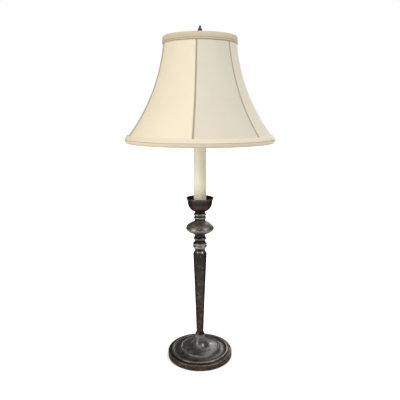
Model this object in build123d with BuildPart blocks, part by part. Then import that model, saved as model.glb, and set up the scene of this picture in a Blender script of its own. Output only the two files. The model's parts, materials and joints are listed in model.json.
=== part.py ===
"""Candlestick table lamp: a cast base and turned stem, a candle cup and sleeve, a socket and bulb
under a harp, and a six-panel fabric bell shade held by a finial."""
from build123d import *
from math import cos, hypot, radians, sin, sqrt
import os

# ---------------------------------------------------------------------------------------------
# Driving dimensions, in millimetres. The lamp stands on Z = 0 with its axis on Z; its front
# faces -Y. Directions are degrees from +X, counter-clockwise seen from above.
# ---------------------------------------------------------------------------------------------

# Threaded pipe that ties the stem together, and the room around it
pipe_radius = 5.0
pipe_wall = 1.6
pipe_clearance = 0.2

# Base casting
base_radius = 71.0
base_height = 49.0
rim_height = 12.4
rim_round = 2.6
rim_wall = 3.6
roof_wall = 3.0
ridge_radius = 60.4
ridge_width = 5.6
ridge_rise = 3.4
step_radius = 41.5
step_height = 20.0
step_rise = 1.6
step_lip = 1.5
cove_bow = 1.8
disc_radius = 25.0
disc_height = 22.4
trumpet_radius = 14.2
trumpet_height = 30.6
neck_radius = 10.9
stem_foot_radius = 10.0
stem_foot_height = 8.0

# Felt, weight and fasteners under the base
felt_thickness = 1.5
felt_recess = 0.9
felt_gap = 0.3
weight_radius = 55.0
weight_thickness = 8.0
nut_pocket_radius = 13.0
nut_across_flats = 15.9
nut_thickness = 4.0
washer_radius = 11.0
washer_thickness = 1.0
pipe_end_gap = 0.5

# Cord inlet at the back of the base
inlet_direction = 90.0
inlet_height = 5.5
inlet_hole_radius = 3.6
inlet_bore_radius = 2.7
inlet_flange_radius = 4.3
inlet_flange_thickness = 1.0
cord_channel_width = 7.4

# Tapered hexagonal column
column_length = 196.0
column_foot_corner = 7.45
column_head_corner = 15.0
column_turn = 9.0
foot_collar_height = 1.4
foot_flare_height = 13.0
foot_flare_root = 6.6
foot_flare_bow = 0.9
shoulder_depth = 8.4
shoulder_drop = 2.4
shoulder_radius = 14.75

# Turned rings below the knop: two large rings side by side, a waist and a small ring
lower_spindle_length = 31.0
lower_ring_radius = 15.0
lower_ring_height = 8.6
lower_ring_spacing = 4.9
lower_groove_radius = 13.6
small_ring_radius = 13.6
small_ring_height = 25.4
small_ring_fall = 1.2
ring_round = 2.1
ring_bevel = 0.4
waist_bow = 0.7
neck_length = 1.1

# Knop
knop_height = 35.0
knop_radius = 29.8
knop_edge_height = 16.6
knop_bevel_radius = 27.5
knop_bevel_height = 22.0
knop_groove = 0.5
knop_bowl_radius = 19.0
knop_bowl_height = 7.2
knop_bowl_bow = 1.7
knop_cove_bow = 0.7
knop_crown_radius = 16.0
knop_crown_height = 29.4
knop_crown_bow = 0.9

# Turned rings above the knop
upper_spindle_length = 16.0
upper_ring_radius = 13.0
upper_groove_radius = 10.8
upper_ring_height = 4.4
upper_ring_spacing = 7.1
upper_ring_half = 2.7

# Candle cup
cup_height = 31.5
cup_floor_height = 6.5
cup_foot_radius = 16.4
cup_foot_height = 4.3
cup_foot_bow = 0.6
cup_bowl_bow = 1.8
cup_wall_radius = 25.4
cup_wall_height = 19.0
cup_wall_lean = 0.4
cup_lip_height = 23.6
cup_lip_bow = 0.4
cup_rim_radius = 28.5
cup_thickness = 1.6
cup_hollow_bow = 2.6

# Candle sleeve with its two centring discs
sleeve_radius = 13.0
sleeve_wall = 1.4
sleeve_length = 144.5
disc_gap = 0.1
seat_disc_thickness = 3.5
top_disc_plug = 4.0
top_disc_plate = 2.0
top_disc_overhang = 0.5

# Harp saddle, harp and its locking sleeves; the harp stands in the XZ plane
saddle_thickness = 1.6
saddle_width = 14.0
saddle_reach = 27.0
saddle_arm_height = 11.0
saddle_bend = 8.0
saddle_tongue_width = 4.4
saddle_tongue_length = 12.0
harp_height = 190.0
harp_half_width = 56.0
harp_wire_radius = 1.9
harp_gap = 0.1
harp_leg_length = 32.0
harp_shoulder = 42.0
harp_waist = 52.0
harp_top_flat = 16.0
harp_bends = (35.0, 90.0, 60.0, 30.0)
harp_top_plate_length = 15.0
harp_top_plate_width = 8.0
harp_top_plate_thickness = 5.4
harp_top_plate_round = 2.0
ferrule_length = 10.0
ferrule_gap = 0.25
ferrule_wall = 0.8

# Shade carrier: hub, spider arms and stud
hub_radius = 9.5
hub_thickness = 3.4
stud_radius = 3.1
stud_height = 11.4
stud_chamfer = 0.5
running_gap = 0.07
arm_radius = 1.5
arm_bend_radius = 8.0
arm_straight = 58.0
arm_directions = (90.0, 210.0, 330.0)

# Bell shade
shade_rise = 7.4
shade_height = 203.5
shade_top_radius = 72.9
shade_top_drop = 15.4
shade_bottom_radius = 152.0
shade_bottom_lift = 6.0
shade_bow = 13.95
fabric_thickness = 0.8
rib_directions = (-159.0, -95.0, -42.0, 20.0, 81.0, 141.0)
rib_radius = 1.2
rib_gap = 0.2
lining_thickness = 0.6
ring_radius = 1.5
fabric_end_gap = 0.8
arm_end_overlap = 0.5
piping_radius = 1.0
piping_lift = 0.1
trim_thickness = 1.1

# Trim at the shade's top and bottom
top_trim_height = 14.2
top_trim_fold = 6.0
trim_gap = 0.1
top_ring_drop = 3.4
top_ring_inset = 0.5
top_ring_gap = 0.3
bottom_trim_height = 15.0
bottom_trim_offset = 1.5
bottom_roll_height = 7.5
bottom_roll_reach = 4.0
bottom_roll_bow = 1.4
bottom_ring_inset = 4.9
bottom_ring_lift = 3.8

# Finial
finial_height = 26.1
finial_skirt_radius = 5.7
finial_neck_radius = 2.6
finial_bulb_radius = 4.5
finial_tip_radius = 2.5
finial_acorn_drop = 5.2
finial_acorn_bow = 0.5
finial_skirt_height = 3.0
finial_dome_bow = 1.3
finial_crown_wall = 2.0
finial_neck_length = 1.4
insert_radius = 4.2
insert_length = 8.6
thread_depth = 9.0

# Socket
socket_radius = 16.6
socket_wall = 0.6
cap_height = 18.0
cap_bush_radius = 7.0
cap_bush_height = 5.0
cap_dome_bow = 2.5
shell_length = 48.0
shell_overlap = 6.0
liner_gap = 0.15
liner_wall = 0.6
core_height = 15.0
core_radius = 14.0
core_flange = 3.0
screw_radius = 13.3
screw_wall = 0.5
screw_length = 24.0
contact_radius = 4.5
contact_height = 4.0
terminal_radius = 2.4
terminal_head = 1.0
terminal_drop = 6.5
set_screw_radius = 1.5
set_screw_length = 3.4

# Turn-knob switch, on the front of the socket
switch_direction = -90.0
switch_height = 22.0
stem_radius = 1.6
stem_length = 30.0
stem_seat_depth = 9.5
stem_hole_gap = 0.6
key_radius = 5.5
key_length = 12.0
key_thickness = 4.0
key_round = 0.8

# Light bulb
bulb_cap_radius = 13.0
bulb_cap_height = 22.0
bulb_tip_radius = 4.8
bulb_tip_height = 2.6
bulb_length = 110.0
bulb_globe_radius = 30.0
bulb_neck_radius = 12.2
bulb_shoulder_angle = 30.0
bulb_cap_wall = 1.0
bulb_seat_depth = 4.0
bulb_collar = 2.0
bulb_gap = 0.07

# ---------------------------------------------------------------------------------------------
# Heights that follow from the stack of pieces
# ---------------------------------------------------------------------------------------------

bore_radius = pipe_radius + pipe_clearance
foot_level = felt_thickness - felt_recess
weight_top = felt_thickness + weight_thickness
base_top = base_height
column_top = base_top + column_length
lower_spindle_top = column_top + lower_spindle_length
knop_top = lower_spindle_top + knop_height
upper_spindle_top = knop_top + upper_spindle_length
cup_floor = upper_spindle_top + cup_floor_height
cup_top = upper_spindle_top + cup_height
sleeve_top = cup_floor + sleeve_length
saddle_level = sleeve_top + top_disc_plate
socket_level = saddle_level + saddle_thickness
harp_top = saddle_level + harp_height
hub_top = harp_top + hub_thickness
shade_top = harp_top + shade_rise
shade_bottom = shade_top - shade_height
finial_tip = hub_top + finial_height
sleeve_bore = sleeve_radius - sleeve_wall


def radial_plane(direction):
    """Upright plane through the lamp's axis, with its local X pointing outward."""
    angle = radians(direction)
    return Plane(origin=(0, 0, 0), x_dir=(cos(angle), sin(angle), 0), z_dir=(sin(angle), -cos(angle), 0))


def outward_plane(direction, distance, height):
    """Plane that faces outward at a distance from the lamp's axis."""
    angle = radians(direction)
    outward = (cos(angle), sin(angle), 0)
    origin = (distance * cos(angle), distance * sin(angle), height)
    return Plane(origin=origin, x_dir=(-sin(angle), cos(angle), 0), z_dir=outward)


def bow_arc(start, end, bow):
    """Profile arc, drawn upward; a positive bow swells away from the axis, a negative one is hollow."""
    return SagittaArc(start, end, -bow)


def across(path):
    """Plane square to the start of a path, turned so a round section's seam lies off the path's plane."""
    return Plane(origin=path @ 0, z_dir=path % 0).rotated((0, 0, 25))


def on_circle(radius, height, angle):
    """Profile point on a circle centred on the axis; the angle is measured up from horizontal."""
    return radius * cos(radians(angle)), height + radius * sin(radians(angle))


# ---------------------------------------------------------------------------------------------
# The shade's bell curve: one arc, hollow outward, through the fabric's top and bottom edges
# ---------------------------------------------------------------------------------------------

bell_top_height = shade_top - shade_top_drop
bell_bottom_height = shade_bottom + shade_bottom_lift
chord_run = shade_bottom_radius - shade_top_radius
chord_rise = bell_top_height - bell_bottom_height
chord = hypot(chord_run, chord_rise)
bell_arc = (chord ** 2 / 4 + shade_bow ** 2) / (2 * shade_bow)
bell_middle_radius = (shade_bottom_radius + shade_top_radius) / 2
bell_centre_radius = bell_middle_radius + (bell_arc - shade_bow) * chord_rise / chord
bell_centre_height = (bell_bottom_height + bell_top_height) / 2 + (bell_arc - shade_bow) * chord_run / chord


def bell_radius(height, depth=0.0):
    """Distance of the bell curve from the axis; depth is measured inward from the outer face."""
    return bell_centre_radius - sqrt((bell_arc + depth) ** 2 - (height - bell_centre_height) ** 2)


def bell_line(low, high, depth):
    """Arc along the bell curve between two heights."""
    middle = (low + high) / 2
    heights = (low, middle, high)
    return ThreePointArc(*[(bell_radius(height, depth), height) for height in heights])


def bell_strip(low, high, outer_depth, inner_depth):
    """Closed outline between two depths of the bell curve."""
    outer = bell_line(low, high, outer_depth)
    inner = bell_line(low, high, inner_depth)
    Line(outer @ 0, inner @ 0)
    Line(outer @ 1, inner @ 1)


os.makedirs("parts", exist_ok=True)


def write(piece, name):
    piece.part.label = name
    export_step(piece.part, f"parts/{name}.step")


# ---------------------------------------------------------------------------------------------
# Base: casting, weight, felt, cord inlet and the nut that closes the stack
# ---------------------------------------------------------------------------------------------

ridge_inner = ridge_radius - ridge_width / 2
ridge_outer = ridge_radius + ridge_width / 2
ridge_top = rim_height + ridge_rise
cove_foot = step_height - step_rise
cavity_radius = base_radius - rim_wall

with BuildPart() as cord_grommet:
    with BuildSketch(outward_plane(inlet_direction, cavity_radius - inlet_flange_thickness, inlet_height)):
        Circle(inlet_hole_radius)
    extrude(amount=rim_wall + 2 * inlet_flange_thickness)
    with BuildSketch(outward_plane(inlet_direction, base_radius, inlet_height)):
        Circle(inlet_flange_radius)
    extrude(amount=inlet_flange_thickness)
    with BuildSketch(outward_plane(inlet_direction, cavity_radius - inlet_flange_thickness, inlet_height)):
        Circle(inlet_bore_radius)
    extrude(amount=rim_wall + 3 * inlet_flange_thickness, mode=Mode.SUBTRACT)

with BuildPart() as base_casting:
    with BuildSketch(Plane.XZ):
        with BuildLine():
            side = Line((base_radius, foot_level), (base_radius, rim_height - rim_round))
            rim = RadiusArc(side @ 1, (base_radius - rim_round, rim_height), -rim_round)
            land = Line(rim @ 1, (ridge_outer, rim_height))
            ridge_end = (ridge_inner, rim_height + ridge_rise / 2)
            ridge = ThreePointArc(land @ 1, (ridge_radius, ridge_top), ridge_end)
            cove = bow_arc(ridge @ 1, (step_radius + step_lip, cove_foot), -cove_bow)
            lip = RadiusArc(cove @ 1, (step_radius, step_height), step_rise)
            groove = Line(lip @ 1, (step_radius - step_lip, step_height - step_lip / 2))
            disc = Line(groove @ 1, (disc_radius, disc_height))
            neck_height = base_height - stem_foot_height
            trumpet = ThreePointArc(disc @ 1, (trumpet_radius, trumpet_height), (neck_radius, neck_height))
            neck = Line(trumpet @ 1, (stem_foot_radius, base_height))
            top = Line(neck @ 1, (bore_radius, base_height))
            bore = Line(top @ 1, (bore_radius, trumpet_height + roof_wall))
            core_out = Line(bore @ 1, (trumpet_radius - roof_wall, disc_height + roof_wall))
            core_side = Line(core_out @ 1, (disc_radius - roof_wall, disc_height - roof_wall))
            core_roof = Line(core_side @ 1, (step_radius - roof_wall, cove_foot - roof_wall))
            core_step = Line(core_roof @ 1, (step_radius + step_lip, weight_top))
            roof = Line(core_step @ 1, (cavity_radius, weight_top))
            wall = Line(roof @ 1, (cavity_radius, foot_level))
            Line(wall @ 1, side @ 0)
        make_face()
    revolve(axis=Axis.Z)
    with BuildSketch(outward_plane(inlet_direction, cavity_radius - rim_wall, inlet_height)):
        Circle(inlet_hole_radius)
    extrude(amount=3 * rim_wall, mode=Mode.SUBTRACT)

with BuildPart() as base_weight:
    with BuildSketch(Plane.XY.offset(felt_thickness)):
        Circle(weight_radius)
        Circle(bore_radius, mode=Mode.SUBTRACT)
    extrude(amount=weight_thickness)
    with BuildSketch(Plane.XY.offset(felt_thickness)):
        Circle(nut_pocket_radius)
    extrude(amount=pipe_end_gap + nut_thickness + washer_thickness, mode=Mode.SUBTRACT)
    with BuildSketch(Plane(origin=(0, 0, felt_thickness), x_dir=(0, 1, 0), z_dir=(0, 0, 1))):
        with Locations((weight_radius / 2, 0)):
            Rectangle(weight_radius, cord_channel_width)
    extrude(amount=pipe_end_gap + nut_thickness + washer_thickness, mode=Mode.SUBTRACT)

with BuildPart() as felt_pad:
    with BuildSketch(Plane.XY):
        Circle(cavity_radius - felt_gap)
    extrude(amount=felt_thickness)

nut_level = felt_thickness + pipe_end_gap

with BuildPart() as base_nut:
    with BuildSketch(Plane.XY.offset(nut_level)):
        RegularPolygon(nut_across_flats / 2, 6, major_radius=False)
        Circle(pipe_radius, mode=Mode.SUBTRACT)
    extrude(amount=nut_thickness)

with BuildPart() as base_washer:
    with BuildSketch(Plane.XY.offset(nut_level + nut_thickness)):
        Circle(washer_radius)
        Circle(pipe_radius, mode=Mode.SUBTRACT)
    extrude(amount=washer_thickness)

with BuildPart() as threaded_pipe:
    with BuildSketch(Plane.XY.offset(nut_level)):
        Circle(pipe_radius)
        Circle(pipe_radius - pipe_wall, mode=Mode.SUBTRACT)
    extrude(amount=socket_level + cap_bush_height - nut_level)

# ---------------------------------------------------------------------------------------------
# Stem: hexagonal column, turned rings, knop and candle cup, threaded on the pipe
# ---------------------------------------------------------------------------------------------

shoulder_base = column_top - shoulder_depth
shoulder_top = column_top - shoulder_drop

with BuildPart() as column:
    with BuildSketch(Plane.XY.offset(base_top)):
        RegularPolygon(column_foot_corner, 6, rotation=column_turn)
    with BuildSketch(Plane.XY.offset(column_top)):
        RegularPolygon(column_head_corner, 6, rotation=column_turn)
    loft(ruled=True)
    with BuildSketch(Plane.XZ):
        with BuildLine():
            Polyline(
                (0, base_top),
                (shoulder_radius, base_top),
                (shoulder_radius, shoulder_base),
                (neck_radius, shoulder_top),
                (neck_radius, column_top),
                (0, column_top),
                close=True,
            )
        make_face()
    revolve(axis=Axis.Z, mode=Mode.INTERSECT)
    with BuildSketch(Plane.XZ):
        with BuildLine():
            foot = Line((0, base_top), (stem_foot_radius, base_top))
            collar = Line(foot @ 1, (stem_foot_radius, base_top + foot_collar_height))
            flare = bow_arc(collar @ 1, (foot_flare_root, base_top + foot_flare_height), -foot_flare_bow)
            inward = Line(flare @ 1, (0, base_top + foot_flare_height))
            Line(inward @ 1, foot @ 0)
        make_face()
    revolve(axis=Axis.Z)
    with BuildSketch(Plane.XY.offset(base_top)):
        Circle(bore_radius)
    extrude(amount=column_length, mode=Mode.SUBTRACT)

ring_one_level = column_top + lower_ring_height
ring_two_level = ring_one_level + lower_ring_spacing
ring_two_end = ring_two_level + lower_ring_spacing / 2
small_ring_level = column_top + small_ring_height

with BuildPart() as lower_spindle:
    with BuildSketch(Plane.XZ):
        with BuildLine():
            foot = Line((bore_radius, column_top), (neck_radius, column_top))
            neck = Line(foot @ 1, (neck_radius, column_top + neck_length))
            cone = Line(neck @ 1, (lower_ring_radius - ring_bevel, ring_one_level - ring_round))
            ring_one_end = (lower_groove_radius, ring_one_level + lower_ring_spacing / 2)
            ring_one = ThreePointArc(cone @ 1, (lower_ring_radius, ring_one_level), ring_one_end)
            ring_two = ThreePointArc(
                ring_one @ 1, (lower_ring_radius, ring_two_level), (lower_groove_radius, ring_two_end)
            )
            waist = bow_arc(ring_two @ 1, (neck_radius, ring_two_end + 2 * ring_round), -waist_bow)
            small_cone = Line(waist @ 1, (small_ring_radius - ring_bevel, small_ring_level - ring_round / 2))
            small_end = (small_ring_radius - small_ring_fall, small_ring_level + ring_round)
            small_ring = ThreePointArc(small_cone @ 1, (small_ring_radius, small_ring_level), small_end)
            shoulder = Line(small_ring @ 1, (neck_radius, lower_spindle_top - neck_length))
            upper_neck = Line(shoulder @ 1, (neck_radius, lower_spindle_top))
            top = Line(upper_neck @ 1, (bore_radius, lower_spindle_top))
            Line(top @ 1, foot @ 0)
        make_face()
    revolve(axis=Axis.Z)

knop_base = lower_spindle_top
knop_edge = knop_base + knop_edge_height
knop_bevel = knop_base + knop_bevel_height
knop_crown = knop_base + knop_crown_height

with BuildPart() as knop:
    with BuildSketch(Plane.XZ):
        with BuildLine():
            foot = Line((bore_radius, knop_base), (neck_radius, knop_base))
            neck = Line(foot @ 1, (neck_radius, knop_base + neck_length))
            cove = bow_arc(neck @ 1, (knop_bowl_radius, knop_base + knop_bowl_height), -knop_cove_bow)
            bowl = bow_arc(cove @ 1, (knop_radius, knop_edge), knop_bowl_bow)
            bevel = Line(bowl @ 1, (knop_bevel_radius, knop_bevel))
            groove = Line(bevel @ 1, (knop_bevel_radius - knop_groove, knop_bevel + knop_groove / 2))
            crown = bow_arc(groove @ 1, (knop_crown_radius, knop_crown), knop_crown_bow)
            upper_cove = bow_arc(crown @ 1, (neck_radius, knop_top - neck_length), -knop_cove_bow)
            upper_neck = Line(upper_cove @ 1, (neck_radius, knop_top))
            top = Line(upper_neck @ 1, (bore_radius, knop_top))
            Line(top @ 1, foot @ 0)
        make_face()
    revolve(axis=Axis.Z)

bead_one = knop_top + upper_ring_height
bead_two = bead_one + upper_ring_spacing


def bead(level):
    """Half-round ring of the upper spindle."""
    low = (upper_groove_radius, level - upper_ring_half)
    high = (upper_groove_radius, level + upper_ring_half)
    return ThreePointArc(low, (upper_ring_radius, level), high)


with BuildPart() as upper_spindle:
    with BuildSketch(Plane.XZ):
        with BuildLine():
            lower_bead = bead(bead_one)
            upper_bead = bead(bead_two)
            foot = Line((bore_radius, knop_top), (neck_radius, knop_top))
            Line(foot @ 1, lower_bead @ 0)
            Line(lower_bead @ 1, upper_bead @ 0)
            upper_neck = Line(upper_bead @ 1, (neck_radius, upper_spindle_top))
            top = Line(upper_neck @ 1, (bore_radius, upper_spindle_top))
            Line(top @ 1, foot @ 0)
        make_face()
    revolve(axis=Axis.Z)

cup_base = upper_spindle_top
cup_wall_top = cup_base + cup_wall_height
cup_lip = cup_base + cup_lip_height
cup_hollow_radius = cup_wall_radius - cup_thickness

with BuildPart() as candle_cup:
    with BuildSketch(Plane.XZ):
        with BuildLine():
            foot = Line((bore_radius, cup_base), (neck_radius, cup_base))
            neck = Line(foot @ 1, (neck_radius, cup_base + neck_length))
            cove = bow_arc(neck @ 1, (cup_foot_radius, cup_base + cup_foot_height), -cup_foot_bow)
            bowl = bow_arc(cove @ 1, (cup_wall_radius, cup_wall_top), cup_bowl_bow)
            wall = Line(bowl @ 1, (cup_wall_radius + cup_wall_lean, cup_lip))
            flare = bow_arc(wall @ 1, (cup_rim_radius, cup_top - cup_thickness), -cup_lip_bow)
            edge = Line(flare @ 1, (cup_rim_radius, cup_top - cup_thickness / 2))
            rim_end = (cup_rim_radius - cup_thickness / 2, cup_top)
            rim_middle = (cup_rim_radius - cup_thickness / 6, cup_top - cup_thickness / 6)
            rim = ThreePointArc(edge @ 1, rim_middle, rim_end)
            inner_flare = bow_arc(rim @ 1, (cup_hollow_radius + cup_wall_lean, cup_lip), cup_lip_bow)
            inner_wall = Line(inner_flare @ 1, (cup_hollow_radius, cup_wall_top))
            hollow = bow_arc(inner_wall @ 1, (cup_foot_radius, cup_floor), -cup_hollow_bow)
            floor = Line(hollow @ 1, (bore_radius, cup_floor))
            Line(floor @ 1, foot @ 0)
        make_face()
    revolve(axis=Axis.Z)

# ---------------------------------------------------------------------------------------------
# Candle sleeve, centred on the pipe by a disc at each end
# ---------------------------------------------------------------------------------------------

with BuildPart() as candle_sleeve:
    with BuildSketch(Plane.XY.offset(cup_floor)):
        Circle(sleeve_radius)
        Circle(sleeve_bore, mode=Mode.SUBTRACT)
    extrude(amount=sleeve_length)

with BuildPart() as sleeve_seat:
    with BuildSketch(Plane.XY.offset(cup_floor)):
        Circle(sleeve_bore - disc_gap)
        Circle(bore_radius, mode=Mode.SUBTRACT)
    extrude(amount=seat_disc_thickness)

with BuildPart() as sleeve_cap:
    with BuildSketch(Plane.XY.offset(sleeve_top - top_disc_plug)):
        Circle(sleeve_bore - disc_gap)
        Circle(bore_radius, mode=Mode.SUBTRACT)
    extrude(amount=top_disc_plug)
    with BuildSketch(Plane.XY.offset(sleeve_top)):
        Circle(sleeve_radius + top_disc_overhang)
        Circle(bore_radius, mode=Mode.SUBTRACT)
    extrude(amount=top_disc_plate)

# ---------------------------------------------------------------------------------------------
# Harp: saddle under the socket, wire loop, locking sleeves, top plate and threaded stud
# ---------------------------------------------------------------------------------------------

tongue_base = saddle_level + saddle_arm_height
tongue_inner = saddle_reach - saddle_thickness / 2
leg_offset = saddle_reach + saddle_thickness / 2 + harp_gap + harp_wire_radius
leg_outer = leg_offset + harp_wire_radius
leg_bottom = tongue_base + harp_gap
leg_top = leg_bottom + harp_leg_length
harp_wire_top = harp_top - harp_top_plate_thickness / 2
ferrule_centre = (tongue_inner + leg_outer) / 2
ferrule_bore = hypot((leg_outer - tongue_inner) / 2, saddle_tongue_width / 2) + ferrule_gap

with BuildPart() as harp_saddle:
    with BuildSketch(Plane.XZ):
        with BuildLine():
            arm_line = Polyline(
                (-saddle_reach, tongue_base - saddle_thickness / 2),
                (-saddle_reach, saddle_level + saddle_bend),
                (saddle_bend - saddle_reach, saddle_level + saddle_thickness / 2),
                (saddle_reach - saddle_bend, saddle_level + saddle_thickness / 2),
                (saddle_reach, saddle_level + saddle_bend),
                (saddle_reach, tongue_base - saddle_thickness / 2),
            )
            offset(arm_line, amount=saddle_thickness / 2, kind=Kind.INTERSECTION)
        make_face()
    extrude(amount=saddle_width / 2, both=True)
    with BuildSketch(Plane.XY.offset(tongue_base - saddle_thickness)):
        with Locations((-saddle_reach, 0), (saddle_reach, 0)):
            Rectangle(saddle_thickness, saddle_tongue_width)
    extrude(amount=saddle_thickness + saddle_tongue_length)
    with BuildSketch(Plane.XY.offset(saddle_level - saddle_thickness)):
        Circle(bore_radius)
    extrude(amount=3 * saddle_thickness, mode=Mode.SUBTRACT)

with BuildPart() as harp_wire:
    with BuildLine(Plane.XZ):
        harp_path = FilletPolyline(
            (-leg_offset, leg_bottom),
            (-leg_offset, leg_top),
            (-harp_half_width, leg_top + harp_shoulder),
            (-harp_half_width, harp_wire_top - harp_waist),
            (-harp_top_flat, harp_wire_top),
            (harp_top_flat, harp_wire_top),
            (harp_half_width, harp_wire_top - harp_waist),
            (harp_half_width, leg_top + harp_shoulder),
            (leg_offset, leg_top),
            (leg_offset, leg_bottom),
            radius=harp_bends + harp_bends[::-1],
        )
    with BuildSketch(across(harp_path)):
        Circle(harp_wire_radius)
    sweep(path=harp_path)

with BuildPart() as harp_top_plate:
    with BuildSketch(Plane.XY.offset(harp_top - harp_top_plate_thickness)):
        Rectangle(harp_top_plate_length, harp_top_plate_width)
    extrude(amount=harp_top_plate_thickness)
    fillet(harp_top_plate.edges().filter_by(Axis.Z), radius=harp_top_plate_round)
    add(harp_wire.part, mode=Mode.SUBTRACT)

with BuildPart() as harp_stud:
    with BuildSketch(Plane.XY.offset(harp_top)):
        Circle(stud_radius)
    extrude(amount=stud_height)
    chamfer(harp_stud.edges().group_by(Axis.Z)[-1], length=stud_chamfer)


def ferrule(side):
    """Locking sleeve that slides over a harp leg and its saddle tongue."""
    with BuildPart() as piece:
        with BuildSketch(Plane.XY.offset(leg_bottom)):
            with Locations((side * ferrule_centre, 0)):
                Circle(ferrule_bore + ferrule_wall)
                Circle(ferrule_bore, mode=Mode.SUBTRACT)
        extrude(amount=ferrule_length)
    return piece


ferrule_left = ferrule(-1)
ferrule_right = ferrule(1)

# ---------------------------------------------------------------------------------------------
# Socket: cap, shell, paper liner, core with its terminals, screw shell, contact and switch
# ---------------------------------------------------------------------------------------------

cap_top = socket_level + cap_height
shell_base = cap_top - shell_overlap
cap_radius = socket_radius + running_gap + socket_wall
cap_floor = socket_level + cap_bush_height + socket_wall
set_screw_level = socket_level + cap_bush_height / 2
stem_hole_radius = stem_radius + stem_hole_gap
stem_root = core_radius - stem_seat_depth
core_base = shell_base + core_flange
core_top = core_base + core_height
contact_top = core_top + contact_height
switch_level = socket_level + switch_height
liner_radius = socket_radius - socket_wall - liner_gap

with BuildPart() as socket_cap:
    with BuildSketch(Plane.XZ):
        with BuildLine():
            foot = Line((pipe_radius, socket_level), (cap_bush_radius, socket_level))
            bush = Line(foot @ 1, (cap_bush_radius, socket_level + cap_bush_height))
            dome = bow_arc(bush @ 1, (cap_radius, shell_base - socket_wall), cap_dome_bow)
            skirt = Line(dome @ 1, (cap_radius, cap_top))
            mouth = Line(skirt @ 1, (cap_radius - socket_wall, cap_top))
            inner_skirt = Line(mouth @ 1, (cap_radius - socket_wall, shell_base - socket_wall))
            inner_dome = bow_arc(inner_skirt @ 1, (cap_bush_radius, cap_floor), -cap_dome_bow)
            step = Line(inner_dome @ 1, (pipe_radius, cap_floor))
            Line(step @ 1, foot @ 0)
        make_face()
    revolve(axis=Axis.Z)
    with BuildSketch(outward_plane(inlet_direction, 0, set_screw_level)):
        Circle(set_screw_radius)
    extrude(amount=cap_bush_radius + set_screw_radius, mode=Mode.SUBTRACT)

with BuildPart() as set_screw:
    with BuildSketch(outward_plane(inlet_direction, pipe_radius, set_screw_level)):
        Circle(set_screw_radius)
    extrude(amount=set_screw_length)

with BuildPart() as switch_stem:
    with BuildSketch(outward_plane(switch_direction, stem_root, switch_level)):
        Circle(stem_radius)
    extrude(amount=stem_length)

with BuildPart() as switch_key:
    key_base = stem_root + stem_length - key_length / 2
    with BuildSketch(outward_plane(switch_direction, key_base, switch_level)):
        SlotOverall(2 * key_radius, key_thickness)
    extrude(amount=key_length)
    fillet(switch_key.edges().group_by(Axis.Y)[0], radius=key_round)
    add(switch_stem.part, mode=Mode.SUBTRACT)

with BuildPart() as socket_shell:
    with BuildSketch(Plane.XY.offset(shell_base)):
        Circle(socket_radius)
        Circle(socket_radius - socket_wall, mode=Mode.SUBTRACT)
    extrude(amount=shell_length)
    with BuildSketch(outward_plane(switch_direction, core_radius, switch_level)):
        Circle(stem_hole_radius)
    extrude(amount=core_radius, mode=Mode.SUBTRACT)

with BuildPart() as socket_liner:
    with BuildSketch(Plane.XY.offset(shell_base)):
        Circle(liner_radius)
        Circle(liner_radius - liner_wall, mode=Mode.SUBTRACT)
    extrude(amount=shell_length - liner_wall)
    with BuildSketch(outward_plane(switch_direction, core_radius, switch_level)):
        Circle(stem_hole_radius)
    extrude(amount=core_radius, mode=Mode.SUBTRACT)

with BuildPart() as socket_core:
    with BuildSketch(Plane.XY.offset(core_base - core_flange)):
        Circle(liner_radius - liner_wall)
    extrude(amount=core_flange)
    with BuildSketch(Plane.XY.offset(core_base)):
        Circle(core_radius)
    extrude(amount=core_height)
    with BuildSketch(outward_plane(switch_direction, stem_root, switch_level)):
        Circle(stem_radius + running_gap)
    extrude(amount=core_radius, mode=Mode.SUBTRACT)

with BuildPart() as terminal_screws:
    for direction in (0.0, 180.0):
        with BuildSketch(outward_plane(direction, core_radius, core_top - terminal_drop)):
            Circle(terminal_radius)
        extrude(amount=terminal_head)

with BuildPart() as screw_shell:
    with BuildSketch(Plane.XY.offset(core_top)):
        Circle(screw_radius + screw_wall)
        Circle(screw_radius, mode=Mode.SUBTRACT)
    extrude(amount=screw_length)

with BuildPart() as centre_contact:
    with BuildSketch(Plane.XY.offset(core_top)):
        Circle(contact_radius)
    extrude(amount=contact_height)

# ---------------------------------------------------------------------------------------------
# Light bulb, screwed down on the contact
# ---------------------------------------------------------------------------------------------

bulb_base = contact_top
bulb_cap_base = bulb_base + bulb_tip_height
bulb_cap_top = bulb_cap_base + bulb_cap_height
bulb_top = bulb_base + bulb_length
globe_level = bulb_top - bulb_globe_radius
bulb_seat = bulb_cap_base + bulb_seat_depth

with BuildPart() as bulb_cap:
    with BuildSketch(Plane.XZ):
        with BuildLine():
            Polyline(
                (0, bulb_base),
                (bulb_tip_radius, bulb_base),
                (bulb_cap_radius - bulb_cap_wall, bulb_cap_base),
                (bulb_cap_radius, bulb_cap_base + bulb_cap_wall),
                (bulb_cap_radius, bulb_cap_top),
                (bulb_neck_radius + bulb_gap, bulb_cap_top),
                (bulb_neck_radius + bulb_gap, bulb_seat),
                (0, bulb_seat),
                close=True,
            )
        make_face()
    revolve(axis=Axis.Z)

with BuildPart() as bulb_glass:
    with BuildSketch(Plane.XZ):
        with BuildLine():
            stem = Line((0, bulb_seat + bulb_gap), (bulb_neck_radius, bulb_seat + bulb_gap))
            wall = Line(stem @ 1, (bulb_neck_radius, bulb_cap_top + bulb_collar))
            globe_start = on_circle(bulb_globe_radius, globe_level, -bulb_shoulder_angle)
            shoulder_run = sin(radians(bulb_shoulder_angle)), cos(radians(bulb_shoulder_angle))
            side = Spline(wall @ 1, globe_start, tangents=[(0, 1), shoulder_run])
            globe_middle = on_circle(bulb_globe_radius, globe_level, bulb_shoulder_angle)
            globe = ThreePointArc(side @ 1, globe_middle, (0, bulb_top))
            Line(globe @ 1, stem @ 0)
        make_face()
    revolve(axis=Axis.Z)

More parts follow.
